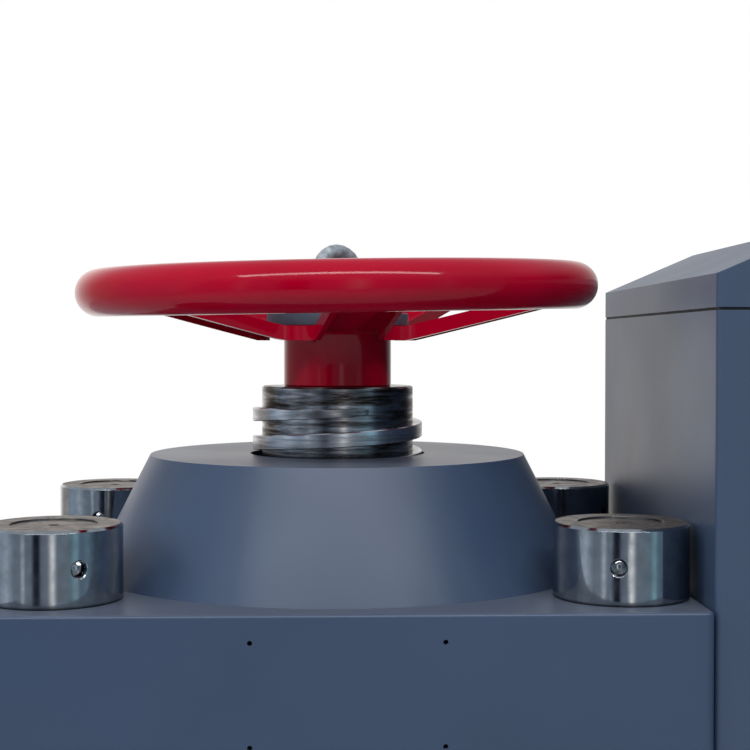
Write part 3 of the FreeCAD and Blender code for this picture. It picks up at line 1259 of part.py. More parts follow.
# Oil pipes: from the pump up to the valve block, back from the block, and from the block to the cylinder
UP_BEND = (V(0, 1, 0), V(0, 0, 1), V(1, 0, 0), "XYZ")
DOWN_BEND = (V(0, -1, 0), V(0, 0, -1), V(1, 0, 0), "XYZ")


def bend(x, y, z, turn=None):
    made = primitive("Torus", Radius1="pipe_bend", Radius2="pipe_round")
    made.Angle3 = 90
    return place(made, x, y, z, turn)


def oil_pipes():
    pipes = []
    socket = "(port_deep - 0.3)"
    rear = "(case_front + block_deep)"
    for x, low in ((feed_x, outlet_top), (drain_x, f"({tank_top} - pump_long)")):
        upper = "(pipe_high - pipe_bend)"
        pipes.append(join(rod(x, "pipe_back", low, "pipe_round", f"{upper} - {low}"),
                          bend(x, "pipe_back - pipe_bend", upper, UP_BEND),
                          rod(x, f"{rear} - {socket}", "pipe_high", "pipe_round",
                              f"pipe_back - pipe_bend - {rear} + {socket}", INWARD)))
    x, y, z = ram_pipe_x, "ram_pipe_front", "port_high"
    low = "(knob_high - block_high/2)"
    end = f"(barrel_round - {socket})"
    pipes.append(join(rod(x, y, f"{z} + pipe_bend", "pipe_round", f"{low} + {socket} - {z} - pipe_bend"),
                      bend(x, f"{y} + pipe_bend", f"{z} + pipe_bend", DOWN_BEND),
                      rod(x, f"{y} + pipe_bend", z, "pipe_round", f"-({y}) - 2*pipe_bend", INWARD),
                      bend(f"{x} - pipe_bend", "-pipe_bend", z),
                      rod(end, "0", z, "pipe_round", f"{x} - pipe_bend - {end}", (V(0, 1, 0), 90))))
    keep(group(*pipes), "oil_pipes")


outlet_low = f"({tank_top} - pump_long/3)"
outlet_top = f"({outlet_low} + outlet_wide)"
pipe_hole = "pipe_round + hole_room"


def oil_tank():
    right, rear = "tank_wide", "tank_deep"
    shell = cut(block(tank_left, "tank_front", "tank_low", right, rear, "tank_high"),
                block(f"{tank_left} + tank_wall", "tank_front + tank_wall", "tank_low + tank_wall",
                      f"{right} - 2*tank_wall", f"{rear} - 2*tank_wall", "tank_high"))
    floor = "(case_low + sheet_thick)"
    legs = [block(x, y, floor, "tank_leg", "tank_leg", f"tank_low - {floor}")
            for x in (tank_left, f"{tank_left} + tank_wide - tank_leg")
            for y in ("tank_front", "tank_front + tank_deep - tank_leg")]
    keep(join(shell, *legs), "oil_tank")

    cover = body("tank_cover")
    lap = "cover_lap"
    pad(cover, sketch(cover, rectangle(f"{tank_left} - {lap}", f"tank_front - {lap}",
                                       f"{tank_left} + tank_wide + {lap}",
                                       f"tank_front + tank_deep + {lap}"), plane="flat", lift=tank_top),
        "cover_thick")
    openings = [("circle", motor_x, "motor_at", "pump_round + hole_room"),
                ("circle", feed_x, "pipe_back", pipe_hole),
                ("circle", drain_x, "pipe_back", pipe_hole),
                ("circle", filler_x, filler_y, "filler_neck + hole_room")]
    pocket(cover, sketch(cover, *openings, plane="flat"))
    keep(cover, "tank_cover")

    cap = body("filler_cap")
    top = f"({tank_top} + cover_thick)"
    profile = [("0", f"{tank_top} - filler_high"), ("filler_neck", f"{tank_top} - filler_high"),
               ("filler_neck", top), ("filler_round", top), ("filler_round", f"{top} + 0.8*filler_high"),
               ("0.8*filler_round", f"{top} + filler_high"), ("0", f"{top} + filler_high")]
    turned(cap, sketch(cap, profile))
    keep(place(cap, filler_x, filler_y), "filler_cap")


def pump_set():
    pump = body("pump")
    seat = f"({tank_top} + cover_thick)"
    low = f"({tank_top} - pump_long)"
    profile = [("0", low), ("0.8*pump_round", low), ("pump_round", f"{low} + 10"), ("pump_round", seat),
               ("pump_flange", seat), ("pump_flange", f"{seat} + pump_thick"), ("0", f"{seat} + pump_thick")]
    turned(pump, sketch(pump, profile))
    arm = block(f"{feed_x} - outlet_wide/2", "pipe_back - outlet_wide/2", outlet_low, "outlet_wide",
                "motor_at - pipe_back - outlet_wide/2", "outlet_wide")
    keep(join(place(pump, motor_x, "motor_at"), arm), "oil_pump")

    motor = body("motor")
    foot = f"({seat} + pump_thick)"
    crown = f"({foot} + motor_high)"
    profile = [("0", foot), ("pump_flange", foot), ("pump_flange", f"{foot} + 12"),
               ("0.94*motor_round", f"{foot} + 20"), ("0.94*motor_round", f"{crown} - 60"),
               ("motor_round", f"{crown} - 60"), ("motor_round", f"{crown} - 8"),
               ("motor_round - 8", crown), ("0", crown)]
    turned(motor, sketch(motor, profile))
    box = block(f"{motor_x} - motor_round - 24", "motor_at - 38", f"{foot} + 60", "40", "76", "64")
    keep(join(place(motor, motor_x, "motor_at"), box), "pump_motor")


def cabinet_electrics():
    wall = f"({case_right} - sheet_thick)"
    box = block(f"{wall} - switch_deep", "switch_front", "switch_low", "switch_deep", "switch_wide",
                "switch_high")
    cover = block(f"{wall} - switch_deep - 6", "switch_front + 4", "switch_low + 4", "6",
                  "switch_wide - 8", "switch_high - 8")
    keep(join(box, cover), "switchgear_box")

    made = body("mains_gland")
    inner = "-(sheet_thick + 0.6*cable_nut)"
    profile = [("cable_bore", inner), ("cable_nut", inner), ("cable_nut", "-sheet_thick"),
               ("cable_round", "-sheet_thick"), ("cable_round", "0"), ("cable_nut", "0"),
               ("cable_nut", "0.6*cable_nut"), ("cable_round + 3", "0.8*cable_nut"),
               ("cable_bore + 2", "1.5*cable_nut"), ("cable_bore", "1.5*cable_nut")]
    turned(made, sketch(made, profile))
    keep(place(made, f"{case_right} - cable_in", case_rear, "cable_high", INWARD), "mains_gland")


hinge_x = f"({case_right} - hinge_in)"
hinge_y = "(case_front - hinge_out)"


def hinge_levels():
    return [f"(hinge_top - {i}*hinge_apart)" for i in (0, 1)]


# Fixed hinge halves: a leaf on the cabinet's border, a knuckle and the pin that stands up from it
def hinge_pins():
    pieces = []
    leaf_in = f"(hinge_out - sheet_thick)"
    for z in hinge_levels():
        leaf = block(hinge_x, f"{hinge_y} + {leaf_in}", z, "hinge_leaf", "sheet_thick", "hinge_long")
        knuckle = rod(hinge_x, hinge_y, z, "hinge_round", "hinge_long")
        pin = rod(hinge_x, hinge_y, z, "hinge_pin", "2*hinge_long")
        pieces.append(join(leaf, knuckle, pin))
    keep(group(*pieces), "hinge_pins")


# Door: folded sheet with two hinge halves, a latch hole and a slot in its fold for the latch cam
def cabinet_door():
    made = body("door_sheet")
    left, right = "(case_left + border + door_gap)", f"({case_right} - border - door_gap)"
    low, high = "(door_low + door_gap)", "(door_low + door_high - door_gap)"
    pad(made, sketch(made, rectangle(left, low, right, high), lift="-case_front"), "door_fold",
        backwards=True)
    inner = rectangle(f"{left} + sheet_thick", f"{low} + sheet_thick", f"{right} - sheet_thick",
                      f"{high} - sheet_thick")
    pocket(made, sketch(made, inner, lift="-(case_front + sheet_thick)"), "door_fold")
    hole = ("circle", "case_left + latch_from", "latch_high", "shaft_round + run_fit")
    pocket(made, sketch(made, hole, lift="-case_front"), "sheet_thick + 1")
    slot = block(f"{left} - 1", "case_front + sheet_thick", "latch_high - cam_wide/2 - 3", "sheet_thick + 2",
                 "cam_gap + cam_thick + 3", "cam_wide/2 + cam_long + 5")
    leaf_in = "(hinge_out - sheet_thick)"
    halves = []
    for z in hinge_levels():
        level = f"({z} + hinge_long + rest_gap)"
        leaf = block(f"{hinge_x} - hinge_leaf", f"{hinge_y} + {leaf_in}", level, "hinge_leaf", "sheet_thick",
                     "hinge_long - 1")
        halves += [leaf, rod(hinge_x, hinge_y, level, "hinge_round", "hinge_long - 1")]
    bores = [rod(hinge_x, hinge_y, f"{z} + hinge_long - 2", "hinge_pin + run_fit", "hinge_long + 3")
             for z in hinge_levels()]
    keep(cut(join(made, *halves), slot, *bores), "cabinet_door")


def door_latch():
    made = body("latch_shaft")
    foot = "-lock_gap"
    cam_low = "(sheet_thick + cam_gap)"
    front = f"({foot} - latch_out)"
    profile = [("0", front), ("latch_round - 1", front), ("latch_round", f"{front} + 1"),
               ("latch_round", foot), ("shaft_round", foot), ("shaft_round", f"{cam_low} + cam_thick + 3"),
               ("0", f"{cam_low} + cam_thick + 3")]
    turned(made, sketch(made, profile))
    grip = rectangle("-grip_wide/2", "-latch_round + 1", "grip_wide/2", "latch_round - 1")
    pad(made, sketch(made, grip, plane="flat", lift=f"{foot} - latch_out"), "latch_out", backwards=True)
    cam = rectangle("-cam_wide/2", "-cam_long", "cam_wide/2", "cam_wide/2")
    pad(made, sketch(made, cam, plane="flat", lift=cam_low), "cam_thick")
    keep(place(made, "case_left + latch_from", "case_front", "latch_high", INWARD), "door_latch")


# Cabinet screws: its own +Z points out of the head
def bolt(x, y, z, turn, long="bolt_long"):
    shank = rod("0", "0", f"-({long})", "bolt_shank", long)
    head = rod("0", "0", "0", "bolt_head", "bolt_out")
    return place(join(shank, head), x, y, z, turn)


def cabinet_screws():
    pieces = [bolt(x, panel_face, z, (V(1, 0, 0), 90)) for x, z in panel_spots()]
    pieces += [bolt(x, panel_face, z, (V(1, 0, 0), 90), "2*bolt_long") for x, z in block_spots()]
    pieces += [bolt(x, f"{case_rear} + sheet_thick", z, (V(1, 0, 0), -90)) for x, z in rear_spots()]
    pieces += [bolt(x, y, f"{case_top} - sheet_thick", (V(1, 0, 0), 180)) for x, y in lid_spots()]
    keep(group(*pieces), "cabinet_screws")


base_casting()
crosshead()
for row, depth in ((-1, "front"), (1, "rear")):
    for side, hand in ((-1, "left"), (1, "right")):
        column(f"column_{depth}_{hand}", side, row)
column_nuts()
cylinder()
cylinder_gland()
frame_screws()
ram()
lower_platen()
upper_platen()
ball_liner()
seat_block()
platen_keeper()
seat_cap()
lead_screw()
screw_nut()
wheel()
eyebolt()
cabinet_shell()
cabinet_lid()
cabinet_back()
cabinet_feet()
cabinet_ties()
instrument_panel()
display()
keypad()
push_button("start_button", "push_high")
push_button("stop_button", "push_high - push_apart")
emergency_stop()
main_switch()
valve_knob("feed_valve_knob", -1)
valve_knob("return_valve_knob", 1)
valve_block()
oil_pipes()
oil_tank()
pump_set()
cabinet_electrics()
hinge_pins()
cabinet_door()
door_latch()
cabinet_screws()

doc.recompute()
for obj in doc.Objects:
    if "Invalid" in obj.State or "Error" in obj.State:
        raise SystemExit(f"{obj.Name} cannot be built: {obj.State}")
for obj in nodes:
    if obj.Shape.isNull() or not obj.Shape.isValid() or not obj.Shape.Solids:
        raise SystemExit(f"{obj.Label} has no valid solid")
os.makedirs("parts", exist_ok=True)
for obj in nodes:
    obj.Shape.exportStep(f"parts/{obj.Label}.step")
print(len(nodes), "parts written")
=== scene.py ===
import bpy, bmesh, json, math
from mathutils import Matrix, Vector, noise


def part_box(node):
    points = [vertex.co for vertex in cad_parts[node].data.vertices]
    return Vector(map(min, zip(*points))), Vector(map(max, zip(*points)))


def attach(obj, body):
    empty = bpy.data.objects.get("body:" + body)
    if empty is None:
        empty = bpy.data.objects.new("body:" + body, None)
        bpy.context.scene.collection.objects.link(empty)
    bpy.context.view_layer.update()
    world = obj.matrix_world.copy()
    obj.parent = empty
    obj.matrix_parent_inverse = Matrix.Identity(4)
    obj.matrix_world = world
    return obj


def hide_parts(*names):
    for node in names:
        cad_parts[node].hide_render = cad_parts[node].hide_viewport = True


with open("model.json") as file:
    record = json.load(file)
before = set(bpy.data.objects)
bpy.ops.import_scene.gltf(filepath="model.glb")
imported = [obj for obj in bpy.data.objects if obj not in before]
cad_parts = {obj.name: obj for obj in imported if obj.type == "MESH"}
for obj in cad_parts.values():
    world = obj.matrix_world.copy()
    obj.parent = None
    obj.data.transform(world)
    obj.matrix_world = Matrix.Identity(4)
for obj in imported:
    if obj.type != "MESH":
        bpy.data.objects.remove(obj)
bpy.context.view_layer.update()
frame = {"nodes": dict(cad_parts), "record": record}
nodes = frame["nodes"]
bodyOf = {node: body for body, names in frame["record"]["behaviour"]["bodies"].items() for node in names}
print("frame loaded:", len(nodes), "nodes")


def linear(code):
    parts = [int(code[i:i + 2], 16) / 255 for i in (0, 2, 4)]
    return [c / 12.92 if c <= 0.04045 else ((c + 0.055) / 1.055) ** 2.4 for c in parts] + [1.0]


# adds one node: a socket takes a value or another node's output, the rest are settings
def add(tree, kind, sockets=None, **settings):
    node = tree.nodes.new(kind)
    for key, value in settings.items():
        setattr(node, key, value)
    for key, value in (sockets or {}).items():
        if isinstance(value, bpy.types.NodeSocket):
            tree.links.new(value, node.inputs[key])
        else:
            node.inputs[key].default_value = value
    return node


def span(tree, value, low, high, toLow=0.0, toHigh=1.0):
    return add(tree, "ShaderNodeMapRange", {"Value": value, "From Min": low, "From Max": high, "To Min": toLow,
                                            "To Max": toHigh}).outputs[0]


def joined(tree, **parts):   # a vector from its x, y and z
    return add(tree, "ShaderNodeCombineXYZ", {"xyz".index(axis): part for axis, part in parts.items()}).outputs[0]


def split(tree, vector):
    return add(tree, "ShaderNodeSeparateXYZ", {0: vector}).outputs


def blend(tree, share, first, second):
    return add(tree, "ShaderNodeMix", {0: share, 6: first, 7: second}, data_type="RGBA").outputs[2]


def calc(tree, operation, *values):
    return add(tree, "ShaderNodeMath", dict(enumerate(values)), operation=operation).outputs[0]


# patch, grain, ring, speck and bump are millimetres on the real surface, streak says how much flatter the patches
# are than wide, and rough is the range that they give
finishes = {
    # two-pack paint rolled on iron castings: satin slate blue, slow waves, dust and painted top light where it faces up
    "satinSlatePaint": dict(colour="384861", second="35445b", patch=160, grain=3.0, bump=0.012, rough=(0.34, 0.42),
                            specular=0.44, topLightAndDust=0.32, topLightAndDustColour="6a6867"),
    # polyester powder coat on sheet steel: even, fine texture, the same slate blue
    "slatePowderCoat": dict(colour="3b4a62", second="37465c", patch=220, grain=2.2, bump=0.014, rough=(0.38, 0.46),
                            specular=0.5, topLightAndDust=0.4, topLightAndDustColour="6a6a6c"),
    # gloss enamel on the welded wheel: deep crimson, thin bright edges in the light
    "crimsonEnamel": dict(colour="a30022", second="99001e", patch=60, grain=7, bump=0.012, rough=(0.16, 0.2),
                          specular=0.04, coat=0.34),
    # weld beads under the same enamel
    "enamelledWeld": dict(colour="980020", second="84001b", patch=5, grain=2.2, bump=0.2, rough=(0.18, 0.26),
                          specular=0.04, coat=0.3),
    # turned and polished steel nuts: mirror bands, very fine lathe rings, a few nicks, and a line of painted shade at
    # the foot
    "polishedNutSteel": dict(colour="b4b7ba", second="94989c", patch=11, ring=0.7, bump=0.006, rough=(0.07, 0.16),
                             metal=1, speck=2.2, fold=(0.193, 0.143), foot=(0.9902, 0.9922), footShadeColour="0c0f15"),
    # faced column end: dull brown-grey, oily, lathe rings
    "facedColumnEnd": dict(colour="75695f", second="4a4340", patch=9, ring=1.1, bump=0.012, rough=(0.36, 0.52), metal=1,
                           fold=(0.193, 0.143)),
    # hard chrome on ground columns: even and bright
    "hardChrome": dict(colour="b6b9bd", second="9fa4a9", patch=120, ring=0.6, bump=0.002, rough=(0.14, 0.22), metal=1,
                       fold=(0.193, 0.143)),
    # turned medium carbon steel, oiled: grey crests, streaks round the screw, brown oil in the roots
    "oiledScrewSteel": dict(colour="dcdee3", second="a3a2a4", patch=34, streak=9, ring=1.2, tint=0.6,
                            tintColour="4c4a4d", bump=0.03, rough=(0.16, 0.34), metal=1, oil=(0.0584, 0.0652),
                            oilColour="312823"),
    # surface-ground tool steel: even grey with circular grinding marks
    "groundPlatenSteel": dict(colour="a6a9ac", second="8c8f93", patch=50, ring=0.9, bump=0.005, rough=(0.22, 0.34),
                              metal=1),
    # turned carbon steel, oiled: darker, with clear tool marks
    "turnedSteel": dict(colour="7b7f84", second="5e6267", patch=30, ring=1.2, tint=0.25, tintColour="45484c",
                        bump=0.01, rough=(0.26, 0.42), metal=1),
    # tin bronze, turned
    "turnedBronze": dict(colour="a97c42", second="86602f", patch=25, ring=1.0, bump=0.01, rough=(0.25, 0.42), metal=1),
    # drop-forged steel, blasted and left bare: rough, light scale with dark pits
    "forgedScale": dict(colour="b3b9bd", second="6d7479", patch=5, grain=1.6, bump=0.2, rough=(0.45, 0.7), metal=0.35,
                        speck=2.4),
    # matt grey primer on the clamp plate
    "greyPrimer": dict(colour="39424f", second="2e3641", patch=25, grain=1.4, bump=0.02, rough=(0.45, 0.6), topLightAndDust=0.3,
                       topLightAndDustColour="62656a"),
    # black oxide on socket screws
    "blackOxide": dict(colour="2d2e31", second="1e1f21", patch=6, grain=1.0, bump=0.008, rough=(0.32, 0.5), metal=0.8),
    # zinc plate: pale, slightly cloudy
    "zincPlate": dict(colour="a4a8ab", second="868b8f", patch=12, grain=1.0, bump=0.006, rough=(0.25, 0.4), metal=1),
    # grey iron as cast: coarse sand skin
    "sandCastIron": dict(colour="4d5053", second="393c3f", patch=18, grain=1.8, bump=0.15, rough=(0.5, 0.7), metal=0.5),
    # moulded nitrile rubber: dull black
    "nitrileRubber": dict(colour="17181a", second="101112", patch=20, grain=1.2, bump=0.02, rough=(0.6, 0.75)),
    # light grey powder coat on the control plate
    "paleGreyPowderCoat": dict(colour="c3c7c9", second="b9bdc0", patch=120, grain=1.6, bump=0.02, rough=(0.42, 0.52)),
    # spark-eroded ABS moulding: fine grain, soft sheen
    "blackAbs": dict(colour="1c1d1f", second="141516", patch=40, grain=1.1, bump=0.03, rough=(0.42, 0.55)),
    # embossed polyester film of the keypad, and its paler keys
    "keypadFilm": dict(colour="3b4149", second="343a41", patch=60, grain=0.9, bump=0.01, rough=(0.35, 0.45)),
    "keyFilm": dict(colour="b9c0c6", second="adb4ba", patch=30, grain=0.9, bump=0.01, rough=(0.35, 0.45)),
    # polycarbonate buttons: glossy and evenly coloured
    "redPolycarbonate": dict(colour="b0151a", second="9b1015", patch=15, grain=1.2, bump=0.006, rough=(0.2, 0.28)),
    "greenPolycarbonate": dict(colour="1f8440", second="1a7437", patch=15, grain=1.2, bump=0.006, rough=(0.2, 0.28)),
    # painted yellow ring round the emergency stop
    "yellowCollarPaint": dict(colour="d8a714", second="c79810", patch=20, grain=1.2, bump=0.01, rough=(0.33, 0.42)),
    # hammered enamel on the tank, gloss enamel on the motor, textured paint on the switchgear box
    "tankEnamel": dict(colour="59626b", second="4e565f", patch=90, grain=4, bump=0.04, rough=(0.32, 0.45)),
    "motorEnamel": dict(colour="2f5f80", second="28526f", patch=40, grain=1.5, bump=0.03, rough=(0.34, 0.46)),
    "boxPaint": dict(colour="b6b9b6", second="abaeab", patch=90, grain=1.4, bump=0.03, rough=(0.42, 0.52)),
    # cold-drawn precision tube: smooth, faint lengthwise cloud
    "drawnTube": dict(colour="8e9397", second="74797d", patch=15, grain=1.0, bump=0.004, rough=(0.22, 0.36), metal=1),
    # white filler in a milled pointer line
    "whiteFiller": dict(colour="e4e5e2", second="d6d7d4", patch=8, grain=1.0, bump=0.01, rough=(0.5, 0.6)),
}


def makeFinish(name, spec):
    made = bpy.data.materials.new(name)
    made.use_nodes = True
    tree = made.node_tree
    tree.nodes.clear()
    shader = add(tree, "ShaderNodeBsdfPrincipled", {
        "Metallic": spec.get("metal", 0), "Specular IOR Level": spec.get("specular", 0.5),
        "Coat Weight": spec.get("coat", 0), "Coat Roughness": 0.05})
    add(tree, "ShaderNodeOutputMaterial", {0: shader.outputs[0]})
    place = add(tree, "ShaderNodeTexCoord").outputs["Object"]

    def noiseAt(vector, scale, **more):
        return add(tree, "ShaderNodeTexNoise", {"Vector": vector, "Scale": scale, **more}).outputs[0]

    drawn = add(tree, "ShaderNodeVectorMath", {0: place, 1: (1, 1, spec.get("streak", 1))},
                operation="MULTIPLY").outputs[0]
    patches = noiseAt(drawn, 1000 / spec["patch"], Detail=5.0, Roughness=0.6)
    spread = span(tree, patches, 0.3, 0.7)
    colour = blend(tree, spread, linear(spec["colour"]), linear(spec["second"]))
    around = place
    if "fold" in spec:   # the four columns stand mirrored about both middle planes
        folded = add(tree, "ShaderNodeVectorMath", {0: place}, operation="ABSOLUTE").outputs[0]
        around = add(tree, "ShaderNodeVectorMath", {0: folded, 1: (*spec["fold"], 0)},
                     operation="SUBTRACT").outputs[0]
    if "ring" in spec:   # tool marks run round the axis, on sides and end faces alike
        x, y, z = split(tree, around)
        flat = joined(tree, x=x, y=y)
        radius = add(tree, "ShaderNodeVectorMath", {0: flat}, operation="LENGTH").outputs["Value"]
        height = noiseAt(joined(tree, x=radius, z=z), 500 / spec["ring"], Detail=3.0)
        if "tint" in spec:
            dark = span(tree, height, 0.45, 0.7, 0.0, spec["tint"])
            colour = blend(tree, dark, colour, linear(spec["tintColour"]))
    else:
        height = noiseAt(place, 500 / spec["grain"], Detail=3.0)
    if "speck" in spec:   # nicks and pits
        cells = add(tree, "ShaderNodeTexVoronoi", {"Vector": place, "Scale": 500 / spec["speck"]}).outputs["Distance"]
        height = calc(tree, "MULTIPLY", height, span(tree, cells, 0.06, 0.22))
    if "oil" in spec:   # the film is thickest at the root of the thread
        depth = span(tree, radius, *spec["oil"], 1.0, 0.0)
        film = calc(tree, "MULTIPLY", depth, span(tree, patches, 0.35, 0.62, 0.35, 1.0))
        colour = blend(tree, film, colour, linear(spec["oilColour"]))
    if "foot" in spec:   # painted shade: a dark line where the nut meets the casting, standing in for the shadow at its foot
        line = span(tree, split(tree, place)[2], *spec["foot"], 1.0, 0.0)
        colour = blend(tree, line, colour, linear(spec["footShadeColour"]))
    if "topLightAndDust" in spec:   # dust and painted top light: faces that look up are lightened
        facing = split(tree, add(tree, "ShaderNodeNewGeometry").outputs["Normal"])[2]
        level = span(tree, facing, 0.75, 1.0, 0.0, spec["topLightAndDust"])
        colour = blend(tree, level, colour, linear(spec["topLightAndDustColour"]))
    tree.links.new(colour, shader.inputs["Base Color"])
    tree.links.new(span(tree, patches, 0.3, 0.7, *spec["rough"]), shader.inputs["Roughness"])
    relief = add(tree, "ShaderNodeBump", {"Height": height, "Distance": spec["bump"] / 1000}).outputs[0]
    tree.links.new(relief, shader.inputs["Normal"])
    return made


finish = {name: makeFinish(name, spec) for name, spec in finishes.items()}


# smoked acrylic over a dark screen: almost a mirror, with faint smears
def makeGlass():
    made = bpy.data.materials.new("smokedAcrylic")
    made.use_nodes = True
    tree = made.node_tree
    shader = tree.nodes["Principled BSDF"]
    place = add(tree, "ShaderNodeTexCoord").outputs["Object"]
    smears = add(tree, "ShaderNodeTexNoise", {"Vector": place, "Scale": 90.0}).outputs[0]
    tone = blend(tree, smears, linear("0b1216"), linear("121c21"))
    tree.links.new(tone, shader.inputs["Base Color"])
    tree.links.new(span(tree, smears, 0.0, 1.0, 0.04, 0.14), shader.inputs["Roughness"])
    return made


finish["smokedAcrylic"] = makeGlass()
print("finishes made:", len(finish))


# gives a finished piece its material and its body, and hides the nodes it stands for
def settle(piece, body, material, *replaced, slot=None):
    if not piece.data.materials:
        piece.data.materials.append(finish[material])
    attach(piece, body)
    if replaced:
        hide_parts(*replaced)
    return piece


def meshPiece(name, work, smoothAngle=35):
    data = bpy.data.meshes.new(name)
    work.to_mesh(data)
    work.free()
    data.shade_smooth()
    data.set_sharp_from_angle(angle=math.radians(smoothAngle))
    piece = bpy.data.objects.new(name, data)
    bpy.context.scene.collection.objects.link(piece)
    return piece


# a closed copy of a CAD node, its edges rounded by so many millimetres
def dress(node, material, edge=0.0, name=None):
    work = bmesh.new()
    work.from_mesh(nodes[node].data)
    bmesh.ops.remove_doubles(work, verts=work.verts, dist=2e-6)
    bmesh.ops.dissolve_limit(work, angle_limit=math.radians(0.6), verts=work.verts, edges=work.edges)
    piece = meshPiece(name or node + "_dressed", work)
    if edge:
        rounding = piece.modifiers.new("edges", "BEVEL")
        rounding.width = edge / 1000
        rounding.segments = 2
        rounding.limit_method = "ANGLE"
        rounding.angle_limit = math.radians(35)
    flat = piece.modifiers.new("flatFaces", "WEIGHTED_NORMAL")   # large flat faces stay flat beside a radius
    flat.keep_sharp = True
    return settle(piece, bodyOf[node], material, node)


# the faces whose middle, in millimetres, passes the test get a finish of their own
def paintWhere(piece, material, test):
    piece.data.materials.append(finish[material])
    number = len(piece.data.materials) - 1
    for face in piece.data.polygons:
        if test(*(1000 * face.center)):
            face.material_index = number


# turns a profile of (radius, height) in millimetres about the load axis
def turnProfile(work, profile, segments=96):
    rings = []
    for radius, height in profile:
        if radius == 0:
            rings.append([work.verts.new((0, 0, height / 1000))])
            continue
        turns = [2 * math.pi * step / segments for step in range(segments)]
        rings.append([work.verts.new((radius * math.cos(a) / 1000, radius * math.sin(a) / 1000, height / 1000))
                      for a in turns])
    for lower, upper in zip(rings, rings[1:]):
        for step in range(segments):
            after = (step + 1) % segments
            if len(lower) == 1:
                work.faces.new((lower[0], upper[after], upper[step]))
            elif len(upper) == 1:
                work.faces.new((lower[step], lower[after], upper[0]))
            else:
                work.faces.new((lower[step], lower[after], upper[after], upper[step]))


# a bent tube closed on itself, in the XY plane about the origin
def ringTube(work, ringRadius, tubeRadius, around, sides):
    rings = []
    for i in range(around):
        turn = 2 * math.pi * i / around
        ring = []
        for j in range(sides):
            tube = 2 * math.pi * j / sides
            reach = ringRadius + tubeRadius * math.cos(tube)
            ring.append(work.verts.new((reach * math.cos(turn) / 1000, reach * math.sin(turn) / 1000,
                                        tubeRadius * math.sin(tube) / 1000)))
        rings.append(ring)
    for i in range(around):
        here, after = rings[i], rings[(i + 1) % around]
        for j in range(sides):
            k = (j + 1) % sides
            work.faces.new((here[j], after[j], after[k], here[k]))


def newTree(name, inputs):
    tree = bpy.data.node_groups.new(name, "GeometryNodeTree")
    tree.interface.new_socket("Geometry", in_out="INPUT", socket_type="NodeSocketGeometry")
    for label, value in inputs.items():
        kind = {int: "NodeSocketInt", float: "NodeSocketFloat"}[type(value)]
        tree.interface.new_socket(label, in_out="INPUT", socket_type=kind).default_value = value
    tree.interface.new_socket("Geometry", in_out="OUTPUT", socket_type="NodeSocketGeometry")
    given, result = add(tree, "NodeGroupInput"), add(tree, "NodeGroupOutput")
    return tree, {socket.name: socket for socket in given.outputs}, result


# every tree ends in real geometry with its material
def endTree(tree, result, geometry, material):
    real = add(tree, "GeometryNodeRealizeInstances", {0: geometry}).outputs[0]
    coated = add(tree, "GeometryNodeSetMaterial", {"Geometry": real, "Material": finish[material]}).outputs[0]
    tree.links.new(coated, result.inputs[0])
    return tree


# runs a tree on points, with one value of each attribute for a point, and keeps the plain mesh it makes
def grow(name, tree, points, values, attributes=None, smoothAngle=35):
    data = bpy.data.meshes.new(name + "Points")
    data.from_pydata(points, [], [])
    for label, vectors in (attributes or {}).items():
        stored = data.attributes.new(label, "FLOAT_VECTOR", "POINT")
        for item, vector in zip(stored.data, vectors):
            item.vector = vector
    carrier = bpy.data.objects.new(name + "Points", data)
    bpy.context.scene.collection.objects.link(carrier)
    modifier = carrier.modifiers.new("grow", "NODES")
    modifier.node_group = tree
    sockets = {item.name: item.identifier for item in tree.interface.items_tree if item.in_out == "INPUT"}
    for label, value in values.items():
        modifier[sockets[label]] = value
    bpy.context.view_layer.update()
    made = bpy.data.meshes.new_from_object(carrier.evaluated_get(bpy.context.evaluated_depsgraph_get()))
    carrier.modifiers.remove(modifier)
    bpy.data.objects.remove(carrier)
    made.name = name
    made.shade_smooth()
    made.set_sharp_from_angle(angle=math.radians(smoothAngle))
    piece = bpy.data.objects.new(name, made)
    bpy.context.scene.collection.objects.link(piece)
    return piece


# hand wheel: bent tube rim, a little out of true as welded, on a hub that is capped by the clamp plate
wheel = dict(ringRadius=182.3, tubeRadius=17.7, rimHeight=1204.3, leanDegrees=1.6, leanAxis=(6, -5, 0),
             hubRadius=41.5, hubLow=1130, hubHigh=1172, plateRadius=55, plateLow=1176, plateHigh=1186, arms=5, firstArm=-82,
             beadRadius=2.2, beadAt=168.6, beadDrop=7.4, beadReach=8.2, spiderEdge=1.6)
rimLean = Matrix.Rotation(math.radians(wheel["leanDegrees"]), 4, Vector(wheel["leanAxis"]))
rimPlace = Matrix.Translation((0, 0, wheel["rimHeight"] / 1000)) @ rimLean


def buildWheelRim(w):
    work = bmesh.new()
    ringTube(work, w["ringRadius"], w["tubeRadius"], 160, 40)
    bmesh.ops.transform(work, matrix=rimPlace, verts=work.verts)
    return settle(meshPiece("wheelRim", work, 180), "screw", "crimsonEnamel", "wheel_rim")


def buildHub(w):
    work = bmesh.new()
    r, low, high = w["hubRadius"], w["hubLow"], w["hubHigh"]
    turnProfile(work, [(0, low), (r - 1, low), (r, low + 1), (r, high - 3), (r + 0.7, high - 2), (r + 2.4, high),
                       (0, high)])
    return settle(meshPiece("wheelHub", work), "screw", "crimsonEnamel", "wheel_hub")


def buildPlate(w):
    work = bmesh.new()
    r, low, high = w["plateRadius"], w["plateLow"], w["plateHigh"]
    turnProfile(work, [(0, low), (r - 0.6, low), (r, low + 0.6), (r, high - 1.2), (r - 0.4, high - 0.4),
                       (r - 1.2, high), (0, high)])
    return settle(meshPiece("clampPlate", work), "screw", "greyPrimer", "clamp_plate")


